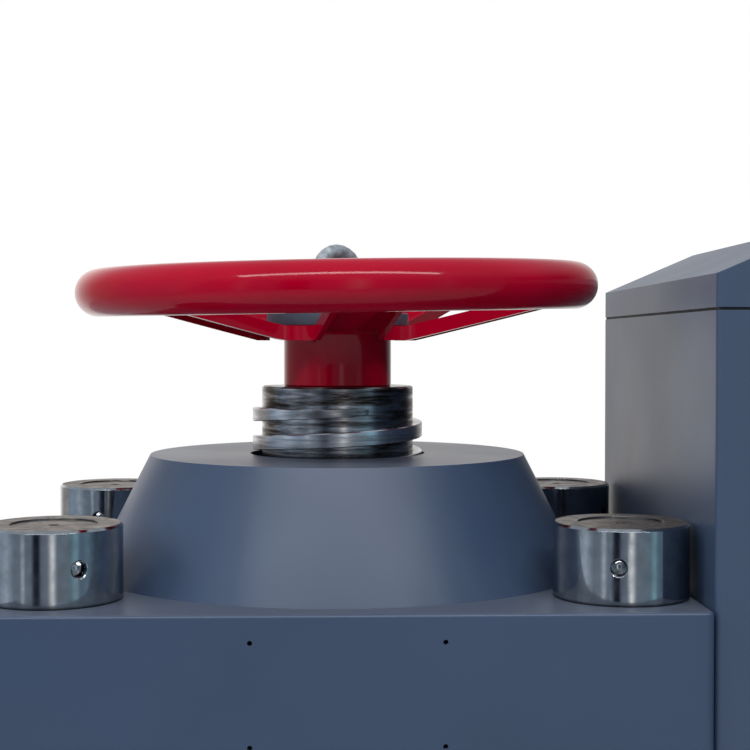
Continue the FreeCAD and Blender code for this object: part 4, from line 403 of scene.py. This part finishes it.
# an uneven weld bead swept along a short arc where each arm meets the rim
def beadTree():
    tree, given, result = newTree("weldBeads", {
        "Arms": 5, "First Arm": -1.43, "Bead Radius": 0.002, "Arc Radius": 0.168, "Drop": 0.007, "Half Angle": 0.14,
        "Rim Height": 1.2, "Lean X": 0.02, "Lean Y": -0.02})
    half = given["Half Angle"]
    arc = add(tree, "GeometryNodeCurveArc", {
        "Resolution": 40, "Radius": given["Arc Radius"], "Start Angle": calc(tree, "MULTIPLY", half, -1.0),
        "Sweep Angle": calc(tree, "MULTIPLY", half, 2.0)}).outputs["Curve"]
    circle = add(tree, "GeometryNodeCurvePrimitiveCircle", {"Resolution": 10, "Radius": given["Bead Radius"]})
    bead = add(tree, "GeometryNodeCurveToMesh", {"Curve": arc, "Profile Curve": circle.outputs["Curve"],
                                                 "Fill Caps": True}).outputs[0]
    where = add(tree, "GeometryNodeInputPosition").outputs[0]
    ripple = add(tree, "ShaderNodeTexNoise", {"Vector": where, "Scale": 260.0}).outputs[0]
    swell = span(tree, ripple, 0.0, 1.0, -0.0009, 0.0009)
    outward = add(tree, "ShaderNodeVectorMath", {0: add(tree, "GeometryNodeInputNormal").outputs[0], "Scale": swell},
                  operation="SCALE").outputs[0]
    rough = add(tree, "GeometryNodeSetPosition", {"Geometry": bead, "Offset": outward}).outputs[0]
    spots = add(tree, "GeometryNodePoints", {"Count": given["Arms"]}).outputs[0]
    index = add(tree, "GeometryNodeInputIndex").outputs[0]
    turn = calc(tree, "DIVIDE", 2 * math.pi, given["Arms"])
    angle = calc(tree, "MULTIPLY_ADD", index, turn, given["First Arm"])
    placed = add(tree, "GeometryNodeInstanceOnPoints", {"Points": spots, "Instance": rough,
                                                        "Rotation": joined(tree, z=angle)}).outputs[0]
    sunk = joined(tree, z=calc(tree, "MULTIPLY", given["Drop"], -1.0))
    lowered = add(tree, "GeometryNodeTransform", {"Geometry": placed, "Translation": sunk}).outputs[0]
    leaned = add(tree, "GeometryNodeTransform", {
        "Geometry": lowered, "Translation": joined(tree, z=given["Rim Height"]),
        "Rotation": joined(tree, x=given["Lean X"], y=given["Lean Y"])}).outputs[0]
    return endTree(tree, result, leaned, "enamelledWeld")


def buildBeads(w):
    lean = rimLean.to_euler()
    piece = grow("armWelds", beadTree(), [(0, 0, 0)], {
        "Arms": w["arms"], "First Arm": math.radians(w["firstArm"]), "Bead Radius": w["beadRadius"] / 1000,
        "Arc Radius": w["beadAt"] / 1000, "Drop": w["beadDrop"] / 1000, "Half Angle": math.radians(w["beadReach"]),
        "Rim Height": w["rimHeight"] / 1000, "Lean X": lean.x, "Lean Y": lean.y}, smoothAngle=60)
    return settle(piece, "screw", "enamelledWeld", slot="wheel_enamel")


buildWheelRim(wheel)
buildHub(wheel)
buildPlate(wheel)
buildBeads(wheel)
dress("wheel_spider", "crimsonEnamel", wheel["spiderEdge"], "wheelSpider")
print("hand wheel built")

# lifting eyebolt: forged ring with an uneven skin on a turned collar
eye = dict(ringRadius=20.5, wireRadius=6, ringHeight=1213.1, turn=44, collarRadius=15, collarLow=1186,
           collarHigh=1194, shank=6, shankLong=60, roughness=0.28)


def buildEyebolt(e):
    work = bmesh.new()
    ringTube(work, e["ringRadius"], e["wireRadius"], 96, 28)
    for vert in work.verts:
        spot = vert.co * 1000
        middle = Vector((spot.x, spot.y, 0)).normalized() * e["ringRadius"]
        swell = e["roughness"] * (noise.fractal(spot * 0.35, 0.6, 2.0, 4) - 0.5) / 1000
        vert.co += (spot - middle).normalized() * swell
    upright = Matrix.Translation((0, 0, e["ringHeight"] / 1000)) @ Matrix.Rotation(math.radians(90), 4, "X")
    bmesh.ops.transform(work, matrix=upright, verts=work.verts)
    low, high, r = e["collarLow"], e["collarHigh"], e["collarRadius"]
    turnProfile(work, [(0, low - e["shankLong"]), (e["shank"], low - e["shankLong"]), (e["shank"], low),
                       (r - 0.5, low), (r, low + 0.5), (r, high - 3.4), (r - 1, high - 2), (0.72 * r, high + 1.2),
                       (0.5 * r, high + 3), (0, high + 3.5)], 48)
    bmesh.ops.transform(work, matrix=Matrix.Rotation(math.radians(e["turn"]), 4, "Z"), verts=work.verts)
    return settle(meshPiece("liftingEye", work, 50), "screw", "forgedScale", "lifting_eyebolt")


buildEyebolt(eye)
print("eyebolt built")

# lead screw: turned core and end button, with the square ridge swept round it by rule
screw = dict(root=58.4, crest=65.6, pitch=22, ridge=11, threadLow=765, threadHigh=1114, front=1086, fadeFrom=1105,
             fadeTo=1110, top=1130, edge=0.6, button=60, buttonLow=678.3, buttonHigh=699.7, neck=46, neckHigh=725.7,
             steps=96)


def threadTree():
    tree, given, result = newTree("squareThread", {
        "Steps": 960, "Steps A Turn": 96, "Root": 0.0584, "Crest": 0.0656, "Pitch": 0.022, "Ridge": 0.011,
        "Edge": 0.0005, "Start": 0.7, "Low": 0.765, "High": 1.114, "Fade From": 1.105, "Fade To": 1.11})
    corners, sink, least = 8, 0.001, 0.0014   # of the section; metres into the core; the thinnest ridge in metres
    grid = add(tree, "GeometryNodeMeshGrid", {"Vertices X": given["Steps"], "Vertices Y": corners}).outputs["Mesh"]
    index = add(tree, "GeometryNodeInputIndex").outputs[0]
    step = calc(tree, "FLOOR", calc(tree, "DIVIDE", index, float(corners)))
    corner = calc(tree, "MODULO", index, float(corners))
    turns = calc(tree, "DIVIDE", step, given["Steps A Turn"])
    base = calc(tree, "MULTIPLY_ADD", turns, given["Pitch"], given["Start"])

    def within(value):   # no part of the ridge leaves the threaded length
        return calc(tree, "MINIMUM", calc(tree, "MAXIMUM", value, given["Low"]), given["High"])

    lower, upper = within(base), within(calc(tree, "ADD", base, given["Ridge"]))
    inner = calc(tree, "SUBTRACT", given["Root"], sink)
    fade = span(tree, base, given["Fade From"], given["Fade To"], 1.0, 0.0)
    thick = calc(tree, "GREATER_THAN", calc(tree, "SUBTRACT", upper, lower), least)
    share = calc(tree, "MULTIPLY", fade, thick)

    def reach(radius):   # the run-out: the ridge sinks into the core
        return calc(tree, "MULTIPLY_ADD", calc(tree, "SUBTRACT", radius, inner), share, inner)

    def pick(values):   # one value for each corner of the ridge's section; the loop closes inside the core
        total = 0.0
        for number, value in enumerate(values):
            total = calc(tree, "MULTIPLY_ADD", calc(tree, "COMPARE", corner, float(number), 0.1), value, total)
        return total

    crest = reach(given["Crest"])
    shoulder = reach(calc(tree, "SUBTRACT", given["Crest"], given["Edge"]))
    radius = pick([inner, inner, shoulder, crest, crest, shoulder, inner, inner])
    middle = calc(tree, "MULTIPLY", calc(tree, "ADD", lower, upper), 0.5)
    cut = calc(tree, "MULTIPLY", given["Edge"], share)
    height = pick([middle, lower, lower, calc(tree, "ADD", lower, cut), calc(tree, "SUBTRACT", upper, cut), upper,
                   upper, middle])
    angle = calc(tree, "MULTIPLY_ADD", turns, 2 * math.pi, -math.pi / 2)
    spot = joined(tree, x=calc(tree, "MULTIPLY", radius, calc(tree, "COSINE", angle)),
                  y=calc(tree, "MULTIPLY", radius, calc(tree, "SINE", angle)), z=height)
    bent = add(tree, "GeometryNodeSetPosition", {"Geometry": grid, "Position": spot}).outputs[0]
    closed = add(tree, "GeometryNodeMergeByDistance", {"Geometry": bent, "Distance": 0.00002}).outputs[0]
    return endTree(tree, result, closed, "oiledScrewSteel")


def buildScrew(s):
    below = math.ceil((s["front"] - s["threadLow"]) / s["pitch"]) + 1
    above = math.ceil((s["threadHigh"] - s["front"]) / s["pitch"]) + 1
    ridge = grow("screwThread", threadTree(), [(0, 0, 0)], {
        "Steps": (below + above) * s["steps"] + 1, "Steps A Turn": s["steps"], "Root": s["root"] / 1000,
        "Crest": s["crest"] / 1000, "Pitch": s["pitch"] / 1000, "Ridge": s["ridge"] / 1000, "Edge": s["edge"] / 1000,
        "Start": (s["front"] - below * s["pitch"]) / 1000, "Low": s["threadLow"] / 1000,
        "High": s["threadHigh"] / 1000, "Fade From": s["fadeFrom"] / 1000, "Fade To": s["fadeTo"] / 1000})
    work = bmesh.new()
    work.from_mesh(ridge.data)
    bpy.data.objects.remove(ridge)
    bmesh.ops.recalc_face_normals(work, faces=work.faces)
    r, b = s["root"], s["button"]
    turnProfile(work, [(0, s["buttonLow"]), (b - 1, s["buttonLow"]), (b, s["buttonLow"] + 1),
                       (b, s["buttonHigh"] - 1), (b - 1, s["buttonHigh"]), (s["neck"], s["buttonHigh"]),
                       (s["neck"], s["neckHigh"]), (r - 1.5, s["neckHigh"]), (r, s["neckHigh"] + 1.5),
                       (r, s["top"] - 1.2), (r - 1.2, s["top"]), (0, s["top"])], 128)
    return settle(meshPiece("leadScrew", work, 30), "screw", "oiledScrewSteel", "lead_screw")


buildScrew(screw)
print("lead screw built")


def looseSolids(node):
    work = bmesh.new()
    work.from_mesh(nodes[node].data)
    bmesh.ops.remove_doubles(work, verts=work.verts, dist=2e-6)
    left, solids = set(work.verts), []
    while left:
        reached = [left.pop()]
        for vert in reached:
            for edge in vert.link_edges:
                other = edge.other_vert(vert)
                if other in left:
                    left.remove(other)
                    reached.append(other)
        solids.append([vert.co.copy() for vert in reached])
    work.free()
    return sorted(solids, key=lambda solid: tuple(round(c, 4) for c in solid[0]))


# where each screw of a node has its head: seat, direction, radius and height, read from the CAD solid
def screwHeads(node):
    heads = []
    for solid in looseSolids(node):
        low = Vector([min(co[k] for co in solid) for k in range(3)])
        high = Vector([max(co[k] for co in solid) for k in range(3)])
        axis = max(range(3), key=lambda k: high[k] - low[k])
        middle = (low + high) / 2

        def reach(co):
            return math.sqrt(sum((co[k] - middle[k]) ** 2 for k in range(3) if k != axis))

        wide = max(reach(co) for co in solid)
        rim = [co[axis] for co in solid if reach(co) > 0.9 * wide]
        way = 1 if min(rim) > middle[axis] else -1
        seat, tip = (min(rim), high[axis]) if way > 0 else (max(rim), low[axis])
        spot = middle.copy()
        spot[axis] = seat
        heads.append((spot, Vector([way if k == axis else 0 for k in range(3)]), wide, abs(tip - seat)))
    return heads


# screw heads, made once at unit size with their socket or cross, and set on every seat
def headTree(name, crossed, material):
    tree, given, result = newTree(name, {"Drive Size": 0.55, "Drive Depth": 0.6, "Crown": 0.9})

    def disc(low, high, bottom, top):
        cone = add(tree, "GeometryNodeMeshCone", {"Vertices": 32, "Radius Top": top, "Radius Bottom": bottom,
                                                  "Depth": high - low}).outputs[0]
        return add(tree, "GeometryNodeTransform", {"Geometry": cone, "Translation": (0, 0, low)}).outputs[0]

    whole = add(tree, "GeometryNodeMeshBoolean", operation="UNION")
    layers = [disc(0, 0.9, 1.0, 1.0), disc(0.9, 1.0, 1.0, given["Crown"])]
    if crossed:   # a domed pan head
        layers = [disc(0, 0.5, 1.0, 1.0), disc(0.5, 0.8, 1.0, 0.86), disc(0.8, 1.0, 0.86, 0.6)]
    for layer in layers:
        tree.links.new(layer, whole.inputs["Mesh 2"])
    drive = add(tree, "GeometryNodeJoinGeometry")
    if crossed:
        wing = 0.24   # width of a wing of the cross, in head radii
        for wide, deep in ((wing, given["Drive Size"]), (given["Drive Size"], wing)):
            size = joined(tree, x=wide, y=deep, z=given["Drive Depth"])
            tree.links.new(add(tree, "GeometryNodeMeshCube", {"Size": size}).outputs[0], drive.inputs[0])
    else:
        key = add(tree, "GeometryNodeMeshCylinder", {"Vertices": 6, "Radius": given["Drive Size"],
                                                     "Depth": given["Drive Depth"]}).outputs[0]
        tree.links.new(key, drive.inputs[0])
    sunk = add(tree, "GeometryNodeTransform", {"Geometry": drive.outputs[0], "Translation": (0, 0, 1)}).outputs[0]
    cut = add(tree, "GeometryNodeMeshBoolean", {"Mesh 1": whole.outputs[0], "Mesh 2": sunk}, operation="DIFFERENCE")
    aim = add(tree, "GeometryNodeInputNamedAttribute", {"Name": "aim"}, data_type="FLOAT_VECTOR").outputs[0]
    scale = add(tree, "GeometryNodeInputNamedAttribute", {"Name": "span"}, data_type="FLOAT_VECTOR").outputs[0]
    turned = add(tree, "FunctionNodeAlignRotationToVector", {"Vector": aim}, axis="Z").outputs[0]
    placed = add(tree, "GeometryNodeInstanceOnPoints", {"Points": given["Geometry"], "Instance": cut.outputs[0],
                                                        "Rotation": turned, "Scale": scale}).outputs[0]
    return endTree(tree, result, placed, material)


screwRows = {   # drive is the share of the head's radius, deep the depth of the socket or cross in heads
    "frame_screws": dict(name="castingScrewHeads", material="blackOxide", drive=0.56, deep=1.2),
    "keeper_screws": dict(name="keeperScrewHeads", material="blackOxide", drive=0.55, deep=1.2),
    "seat_cap_screws": dict(name="capScrewHeads", material="blackOxide", drive=0.55, deep=1.2),
    "cabinet_screws": dict(name="cabinetScrewHeads", material="zincPlate", drive=1.15, deep=0.9),
}
headTrees = {"blackOxide": headTree("socketHeads", False, "blackOxide"),
             "zincPlate": headTree("crossHeads", True, "zincPlate")}
for node, row in screwRows.items():
    seats, aims, widths, talls = zip(*screwHeads(node))
    piece = grow(row["name"], headTrees[row["material"]], seats,
                 {"Drive Size": row["drive"], "Drive Depth": row["deep"]},
                 {"aim": aims, "span": [(wide, wide, tall) for wide, tall in zip(widths, talls)]})
    settle(piece, bodyOf[node], row["material"], node)
print("screw heads built:", len(screwRows), "sets")

# pressed hoods over the slots of the rear plate, open below
louvre = dict(mid=452.5, wide=140, high=12, out=7, between=178, step=24, low=160, rows=5, face=179)


def hoodTree():
    tree, given, result = newTree("louvreHoods", {"Width": 0.14, "Height": 0.012, "Reach": 0.007})
    drum = add(tree, "GeometryNodeMeshCylinder", {"Vertices": 40, "Side Segments": 1, "Radius": 1.0,
                                                  "Depth": 1.0}).outputs[0]
    across = add(tree, "GeometryNodeTransform", {"Geometry": drum, "Rotation": (0, math.radians(90), 0)}).outputs[0]
    below = add(tree, "GeometryNodeMeshCube", {"Size": (3, 3, 2)}).outputs[0]
    lower = add(tree, "GeometryNodeTransform", {"Geometry": below, "Translation": (0, 0, -1)}).outputs[0]
    inside = add(tree, "GeometryNodeMeshCube", {"Size": (3, 2, 3)}).outputs[0]
    rear = add(tree, "GeometryNodeTransform", {"Geometry": inside, "Translation": (0, -1, 0)}).outputs[0]
    cut = add(tree, "GeometryNodeMeshBoolean", {"Mesh 1": across}, operation="DIFFERENCE")
    for block in (lower, rear):
        tree.links.new(block, cut.inputs["Mesh 2"])
    size = joined(tree, x=given["Width"], y=given["Reach"], z=given["Height"])
    placed = add(tree, "GeometryNodeInstanceOnPoints", {"Points": given["Geometry"], "Instance": cut.outputs[0],
                                                        "Scale": size}).outputs[0]
    return endTree(tree, result, placed, "slatePowderCoat")


def buildHoods(v):
    spots = [((v["mid"] + way * v["between"] / 2) / 1000, v["face"] / 1000, (v["low"] + i * v["step"] - 1) / 1000)
             for way in (-1, 1) for i in range(v["rows"])]
    piece = grow("louvreHoods", hoodTree(), spots, {"Width": v["wide"] / 1000, "Height": v["high"] / 1000,
                                                    "Reach": v["out"] / 1000})
    return settle(piece, "frame", "slatePowderCoat", slot="cabinet_paint")


buildHoods(louvre)

# cooling fins down the motor's body
fins = dict(count=30, radius=69.5, reach=7, thick=2, low=20, high=60)


def finTree():
    tree, given, result = newTree("motorFins", {"Fins": 30, "Radius": 0.07, "Reach": 0.007, "Thickness": 0.002,
                                                "Height": 0.12})
    size = joined(tree, x=given["Reach"], y=given["Thickness"], z=given["Height"])
    fin = add(tree, "GeometryNodeMeshCube", {"Size": size}).outputs[0]
    circle = add(tree, "GeometryNodeMeshCircle", {"Vertices": given["Fins"], "Radius": given["Radius"]}).outputs[0]
    turn = calc(tree, "DIVIDE", calc(tree, "MULTIPLY", add(tree, "GeometryNodeInputIndex").outputs[0], 2 * math.pi),
                given["Fins"])
    crown = add(tree, "GeometryNodeInstanceOnPoints", {"Points": circle, "Instance": fin,
                                                       "Rotation": joined(tree, z=turn)}).outputs[0]
    placed = add(tree, "GeometryNodeInstanceOnPoints", {"Points": given["Geometry"], "Instance": crown}).outputs[0]
    return endTree(tree, result, placed, "motorEnamel")


def buildFins(f):
    low, high = [Vector(corner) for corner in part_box("pump_motor")]
    middle = (low + high) / 2
    bottom, top = low.z + f["low"] / 1000, high.z - f["high"] / 1000
    piece = grow("motorFins", finTree(), [(middle.x, middle.y, (bottom + top) / 2)], {
        "Fins": f["count"], "Radius": f["radius"] / 1000, "Reach": f["reach"] / 1000, "Thickness": f["thick"] / 1000,
        "Height": top - bottom})
    return settle(piece, "frame", "motorEnamel", slot="motor_paint")


buildFins(fins)
print("louvre hoods and motor fins built")

# every other node keeps its form, closed and smooth, with its own finish and rounded edges
dressed = {
    "base_casting": ("satinSlatePaint", 1.2), "crosshead": ("satinSlatePaint", 0.8), "cylinder": ("turnedSteel", 0.0),
    "cylinder_gland": ("turnedSteel", 0.5), "column_front_left": ("hardChrome", 0.0),
    "column_front_right": ("hardChrome", 0.0), "column_rear_left": ("hardChrome", 0.0),
    "column_rear_right": ("hardChrome", 0.0), "column_nuts_top": ("polishedNutSteel", 0.35),
    "column_nuts_bottom": ("polishedNutSteel", 0.0), "screw_nut": ("turnedBronze", 0.0),
    "ram": ("groundPlatenSteel", 0.5), "ram_seal": ("nitrileRubber", 0.0), "lower_platen": ("groundPlatenSteel", 0.4),
    "seat_block": ("turnedSteel", 0.5), "thrust_pad": ("turnedBronze", 0.0), "seat_cap": ("turnedSteel", 0.5),
    "ball_liner": ("turnedBronze", 0.0), "upper_platen": ("groundPlatenSteel", 0.4),
    "platen_keeper": ("turnedSteel", 0.5), "drive_pins": ("zincPlate", 0.0), "cabinet_shell": ("slatePowderCoat", 0.6),
    "cabinet_lid": ("slatePowderCoat", 1.0), "lid_gasket": ("nitrileRubber", 0.0),
    "cabinet_back": ("slatePowderCoat", 0.4), "cabinet_feet": ("nitrileRubber", 0.6), "cabinet_ties": ("zincPlate", 0.4),
    "instrument_panel": ("paleGreyPowderCoat", 0.4), "display_bezel": ("blackAbs", 0.8),
    "display_glass": ("smokedAcrylic", 0.2), "keypad": ("keypadFilm", 0.6), "start_button": ("greenPolycarbonate", 0.4),
    "stop_button": ("redPolycarbonate", 0.4), "emergency_stop": ("redPolycarbonate", 0.6),
    "main_switch": ("blackAbs", 0.5), "feed_valve_knob": ("blackAbs", 0.8), "return_valve_knob": ("blackAbs", 0.8),
    "valve_block": ("zincPlate", 0.8), "pressure_sensor": ("zincPlate", 0.5), "oil_pipes": ("drawnTube", 0.0),
    "oil_tank": ("tankEnamel", 0.6), "tank_cover": ("tankEnamel", 0.6), "filler_cap": ("blackAbs", 0.8),
    "oil_pump": ("sandCastIron", 1.0), "pump_motor": ("motorEnamel", 0.8), "switchgear_box": ("boxPaint", 1.0),
    "mains_gland": ("blackAbs", 0.4), "hinge_pins": ("zincPlate", 0.4), "cabinet_door": ("slatePowderCoat", 0.6),
    "door_latch": ("blackAbs", 0.5),
}
pieces = {node: dress(node, material, edge) for node, (material, edge) in dressed.items()}
print("nodes dressed:", len(pieces))

# places of their own finish: column ends above the castings, collars and keys of the control panel
panel = dict(face=-206, push=(506.5, (972, 928), 15.5), guard=(586.5, 950, 27.5), plate=(602.5, 868, 27), keys=-210)


def paintPlaces(p):
    for node in pieces:
        if node.startswith("column_front") or node.startswith("column_rear"):
            paintWhere(pieces[node], "facedColumnEnd", lambda x, y, z: z > 989 or z < 30)
    paintWhere(pieces["column_nuts_top"], "facedColumnEnd", lambda x, y, z: z > 1040.8)
    front = pieces["instrument_panel"]
    x0, heights, r = p["push"]
    paintWhere(front, "zincPlate", lambda x, y, z: y < p["face"] - 0.1 and any(
        math.hypot(x - x0, z - high) < r for high in heights))
    gx, gz, gr = p["guard"]
    paintWhere(front, "yellowCollarPaint", lambda x, y, z: y < p["face"] - 0.1 and math.hypot(x - gx, z - gz) < gr)
    sx, sz, half = p["plate"]
    paintWhere(front, "blackAbs", lambda x, y, z: y < p["face"] - 0.1 and max(abs(x - sx), abs(z - sz)) < half)
    paintWhere(pieces["keypad"], "keyFilm", lambda x, y, z: y < p["keys"])


paintPlaces(panel)

# a white pointer line on the front of each valve knob
pointer = dict(wide=2.2, low=9, high=24, out=0.3)


def buildPointer(node, v):
    low, high = [Vector(corner) * 1000 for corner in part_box(node)]
    x, z = (low.x + high.x) / 2, (low.z + high.z) / 2
    work = bmesh.new()
    bmesh.ops.create_cube(work, size=1)
    size = Matrix.Diagonal((v["wide"] / 1000, 2 * v["out"] / 1000, (v["high"] - v["low"]) / 1000, 1))
    middle = Matrix.Translation((x / 1000, low.y / 1000, (z + (v["low"] + v["high"]) / 2) / 1000))
    bmesh.ops.transform(work, matrix=middle @ size, verts=work.verts)
    bmesh.ops.bevel(work, geom=work.edges, offset=0.0002, segments=2, affect="EDGES")
    name = node.split("_")[0] + "Pointer"
    return settle(meshPiece(name, work), bodyOf[node], "whiteFiller", slot="panel_paint")


buildPointer("feed_valve_knob", pointer)
buildPointer("return_valve_knob", pointer)
print("panel finished")

# pale floor, a room of soft grey walls for the metal to mirror, three softboxes and the camera
stage = dict(floorHalf=4.0, floorColour="d9dadb", ceiling="a9b1ba", ground="7a8086", roomStrength=1.3)
walls = {   # what the steel mirrors at each bearing, 0 behind the camera and 90 to the right
    -180: "f2f0ee", -152: "eae6e2", -128: "9b9794", -112: "a39f9b", -104: "8b98a8", -84: "95a4b4", -72: "aebac6",
    -58: "7b8796", -46: "75818f", -41: "bcc6cf", -36: "74808f", -27: "7c8896", -22: "1a2030", -14: "141a28",
    -10: "707a88", 1: "7b8592", 8.5: "ffffff", 15: "76828f", 30: "76848f", 38: "6b8592", 46: "86aab8", 54: "5d7386",
    68: "6d8798", 84: "3c4a5c", 116: "2c3544", 150: "a19e9c", 180: "f2f0ee",
}
floor = bpy.data.meshes.new("floor")
h = stage["floorHalf"]   # metres
floor.from_pydata([(-h, -h, 0), (h, -h, 0), (h, h, 0), (-h, h, 0)], [], [(0, 1, 2, 3)])
floorPiece = bpy.data.objects.new("floor", floor)
bpy.context.scene.collection.objects.link(floorPiece)
paleFloor = bpy.data.materials.new("paleFloor")
paleFloor.use_nodes = True
floorShader = paleFloor.node_tree.nodes["Principled BSDF"]
floorShader.inputs["Base Color"].default_value = linear(stage["floorColour"])
floorShader.inputs["Roughness"].default_value = 0.7
floor.materials.append(paleFloor)


def buildRoom(s):
    world = bpy.data.worlds.new("studio")
    bpy.context.scene.world = world
    world.use_nodes = True
    sky = world.node_tree
    sky.nodes.clear()
    x, y, z = split(sky, add(sky, "ShaderNodeTexCoord").outputs["Generated"])
    bearing = calc(sky, "ARCTAN2", x, calc(sky, "MULTIPLY", y, -1.0))
    ramp = add(sky, "ShaderNodeValToRGB", {0: span(sky, bearing, -math.pi, math.pi)})
    stops = ramp.color_ramp.elements
    for number, (angle, code) in enumerate(walls.items()):
        place = (angle + 180) / 360
        stop = stops[number] if number < 2 else stops.new(place)
        stop.position = place
        stop.color = linear(code)
    upper = blend(sky, span(sky, z, 0.3, 0.6), ramp.outputs[0], linear(s["ceiling"]))
    both = blend(sky, span(sky, z, -0.3, -0.5), upper, linear(s["ground"]))
    room = add(sky, "ShaderNodeBackground", {"Color": both, "Strength": s["roomStrength"]}).outputs[0]
    white = add(sky, "ShaderNodeBackground", {"Color": (1, 1, 1, 1), "Strength": 1.0}).outputs[0]
    seen = add(sky, "ShaderNodeLightPath").outputs["Is Camera Ray"]
    mixed = add(sky, "ShaderNodeMixShader", {0: seen, 1: room, 2: white}).outputs[0]
    add(sky, "ShaderNodeOutputWorld", {0: mixed})


buildRoom(stage)
lamps = {
    "overheadSoftbox": dict(at=(0.0, -1.65, 3.15), to=(0, 0, 1.15), size=(3.6, 0.34), power=52, mirrored=True),
    "leftSoftbox": dict(at=(-2.4, -1.2, 2.1), to=(0.2, 0, 1.1), size=(0.8, 1.6), power=22, mirrored=False),
    "topFill": dict(at=(0.2, -0.3, 3.4), to=(0.1, 0, 1.0), size=(1.6, 1.2), power=8, mirrored=False),
}
for name, lamp in lamps.items():
    light = bpy.data.lights.new(name, "AREA")
    light.shape = "RECTANGLE"
    light.size, light.size_y = lamp["size"]
    light.energy = lamp["power"]
    holder = bpy.data.objects.new(name, light)
    bpy.context.scene.collection.objects.link(holder)
    holder.visible_glossy = lamp["mirrored"]   # only the overhead box shows as a highlight
    holder.location = lamp["at"]
    holder.rotation_euler = (Vector(lamp["to"]) - Vector(lamp["at"])).to_track_quat("-Z", "Y").to_euler()

view = dict(lens=70.13, sensor=36, at=(-0.00883, -1.13534, 1.16215), tilt=(-0.0211, -0.0005, -0.0334))
cameraData = bpy.data.cameras.new("photoCamera")
cameraData.sensor_width = view["sensor"]
cameraData.lens = view["lens"]
camera = bpy.data.objects.new("photoCamera", cameraData)
bpy.context.scene.collection.objects.link(camera)
camera.location = view["at"]
camera.rotation_euler = (math.radians(90) + view["tilt"][0], view["tilt"][1], view["tilt"][2])
bpy.context.scene.camera = camera
bpy.context.scene.view_settings.view_transform = "Standard"   # keeps the enamel's red and the white backdrop
print("stage ready")

bpy.context.view_layer.update()
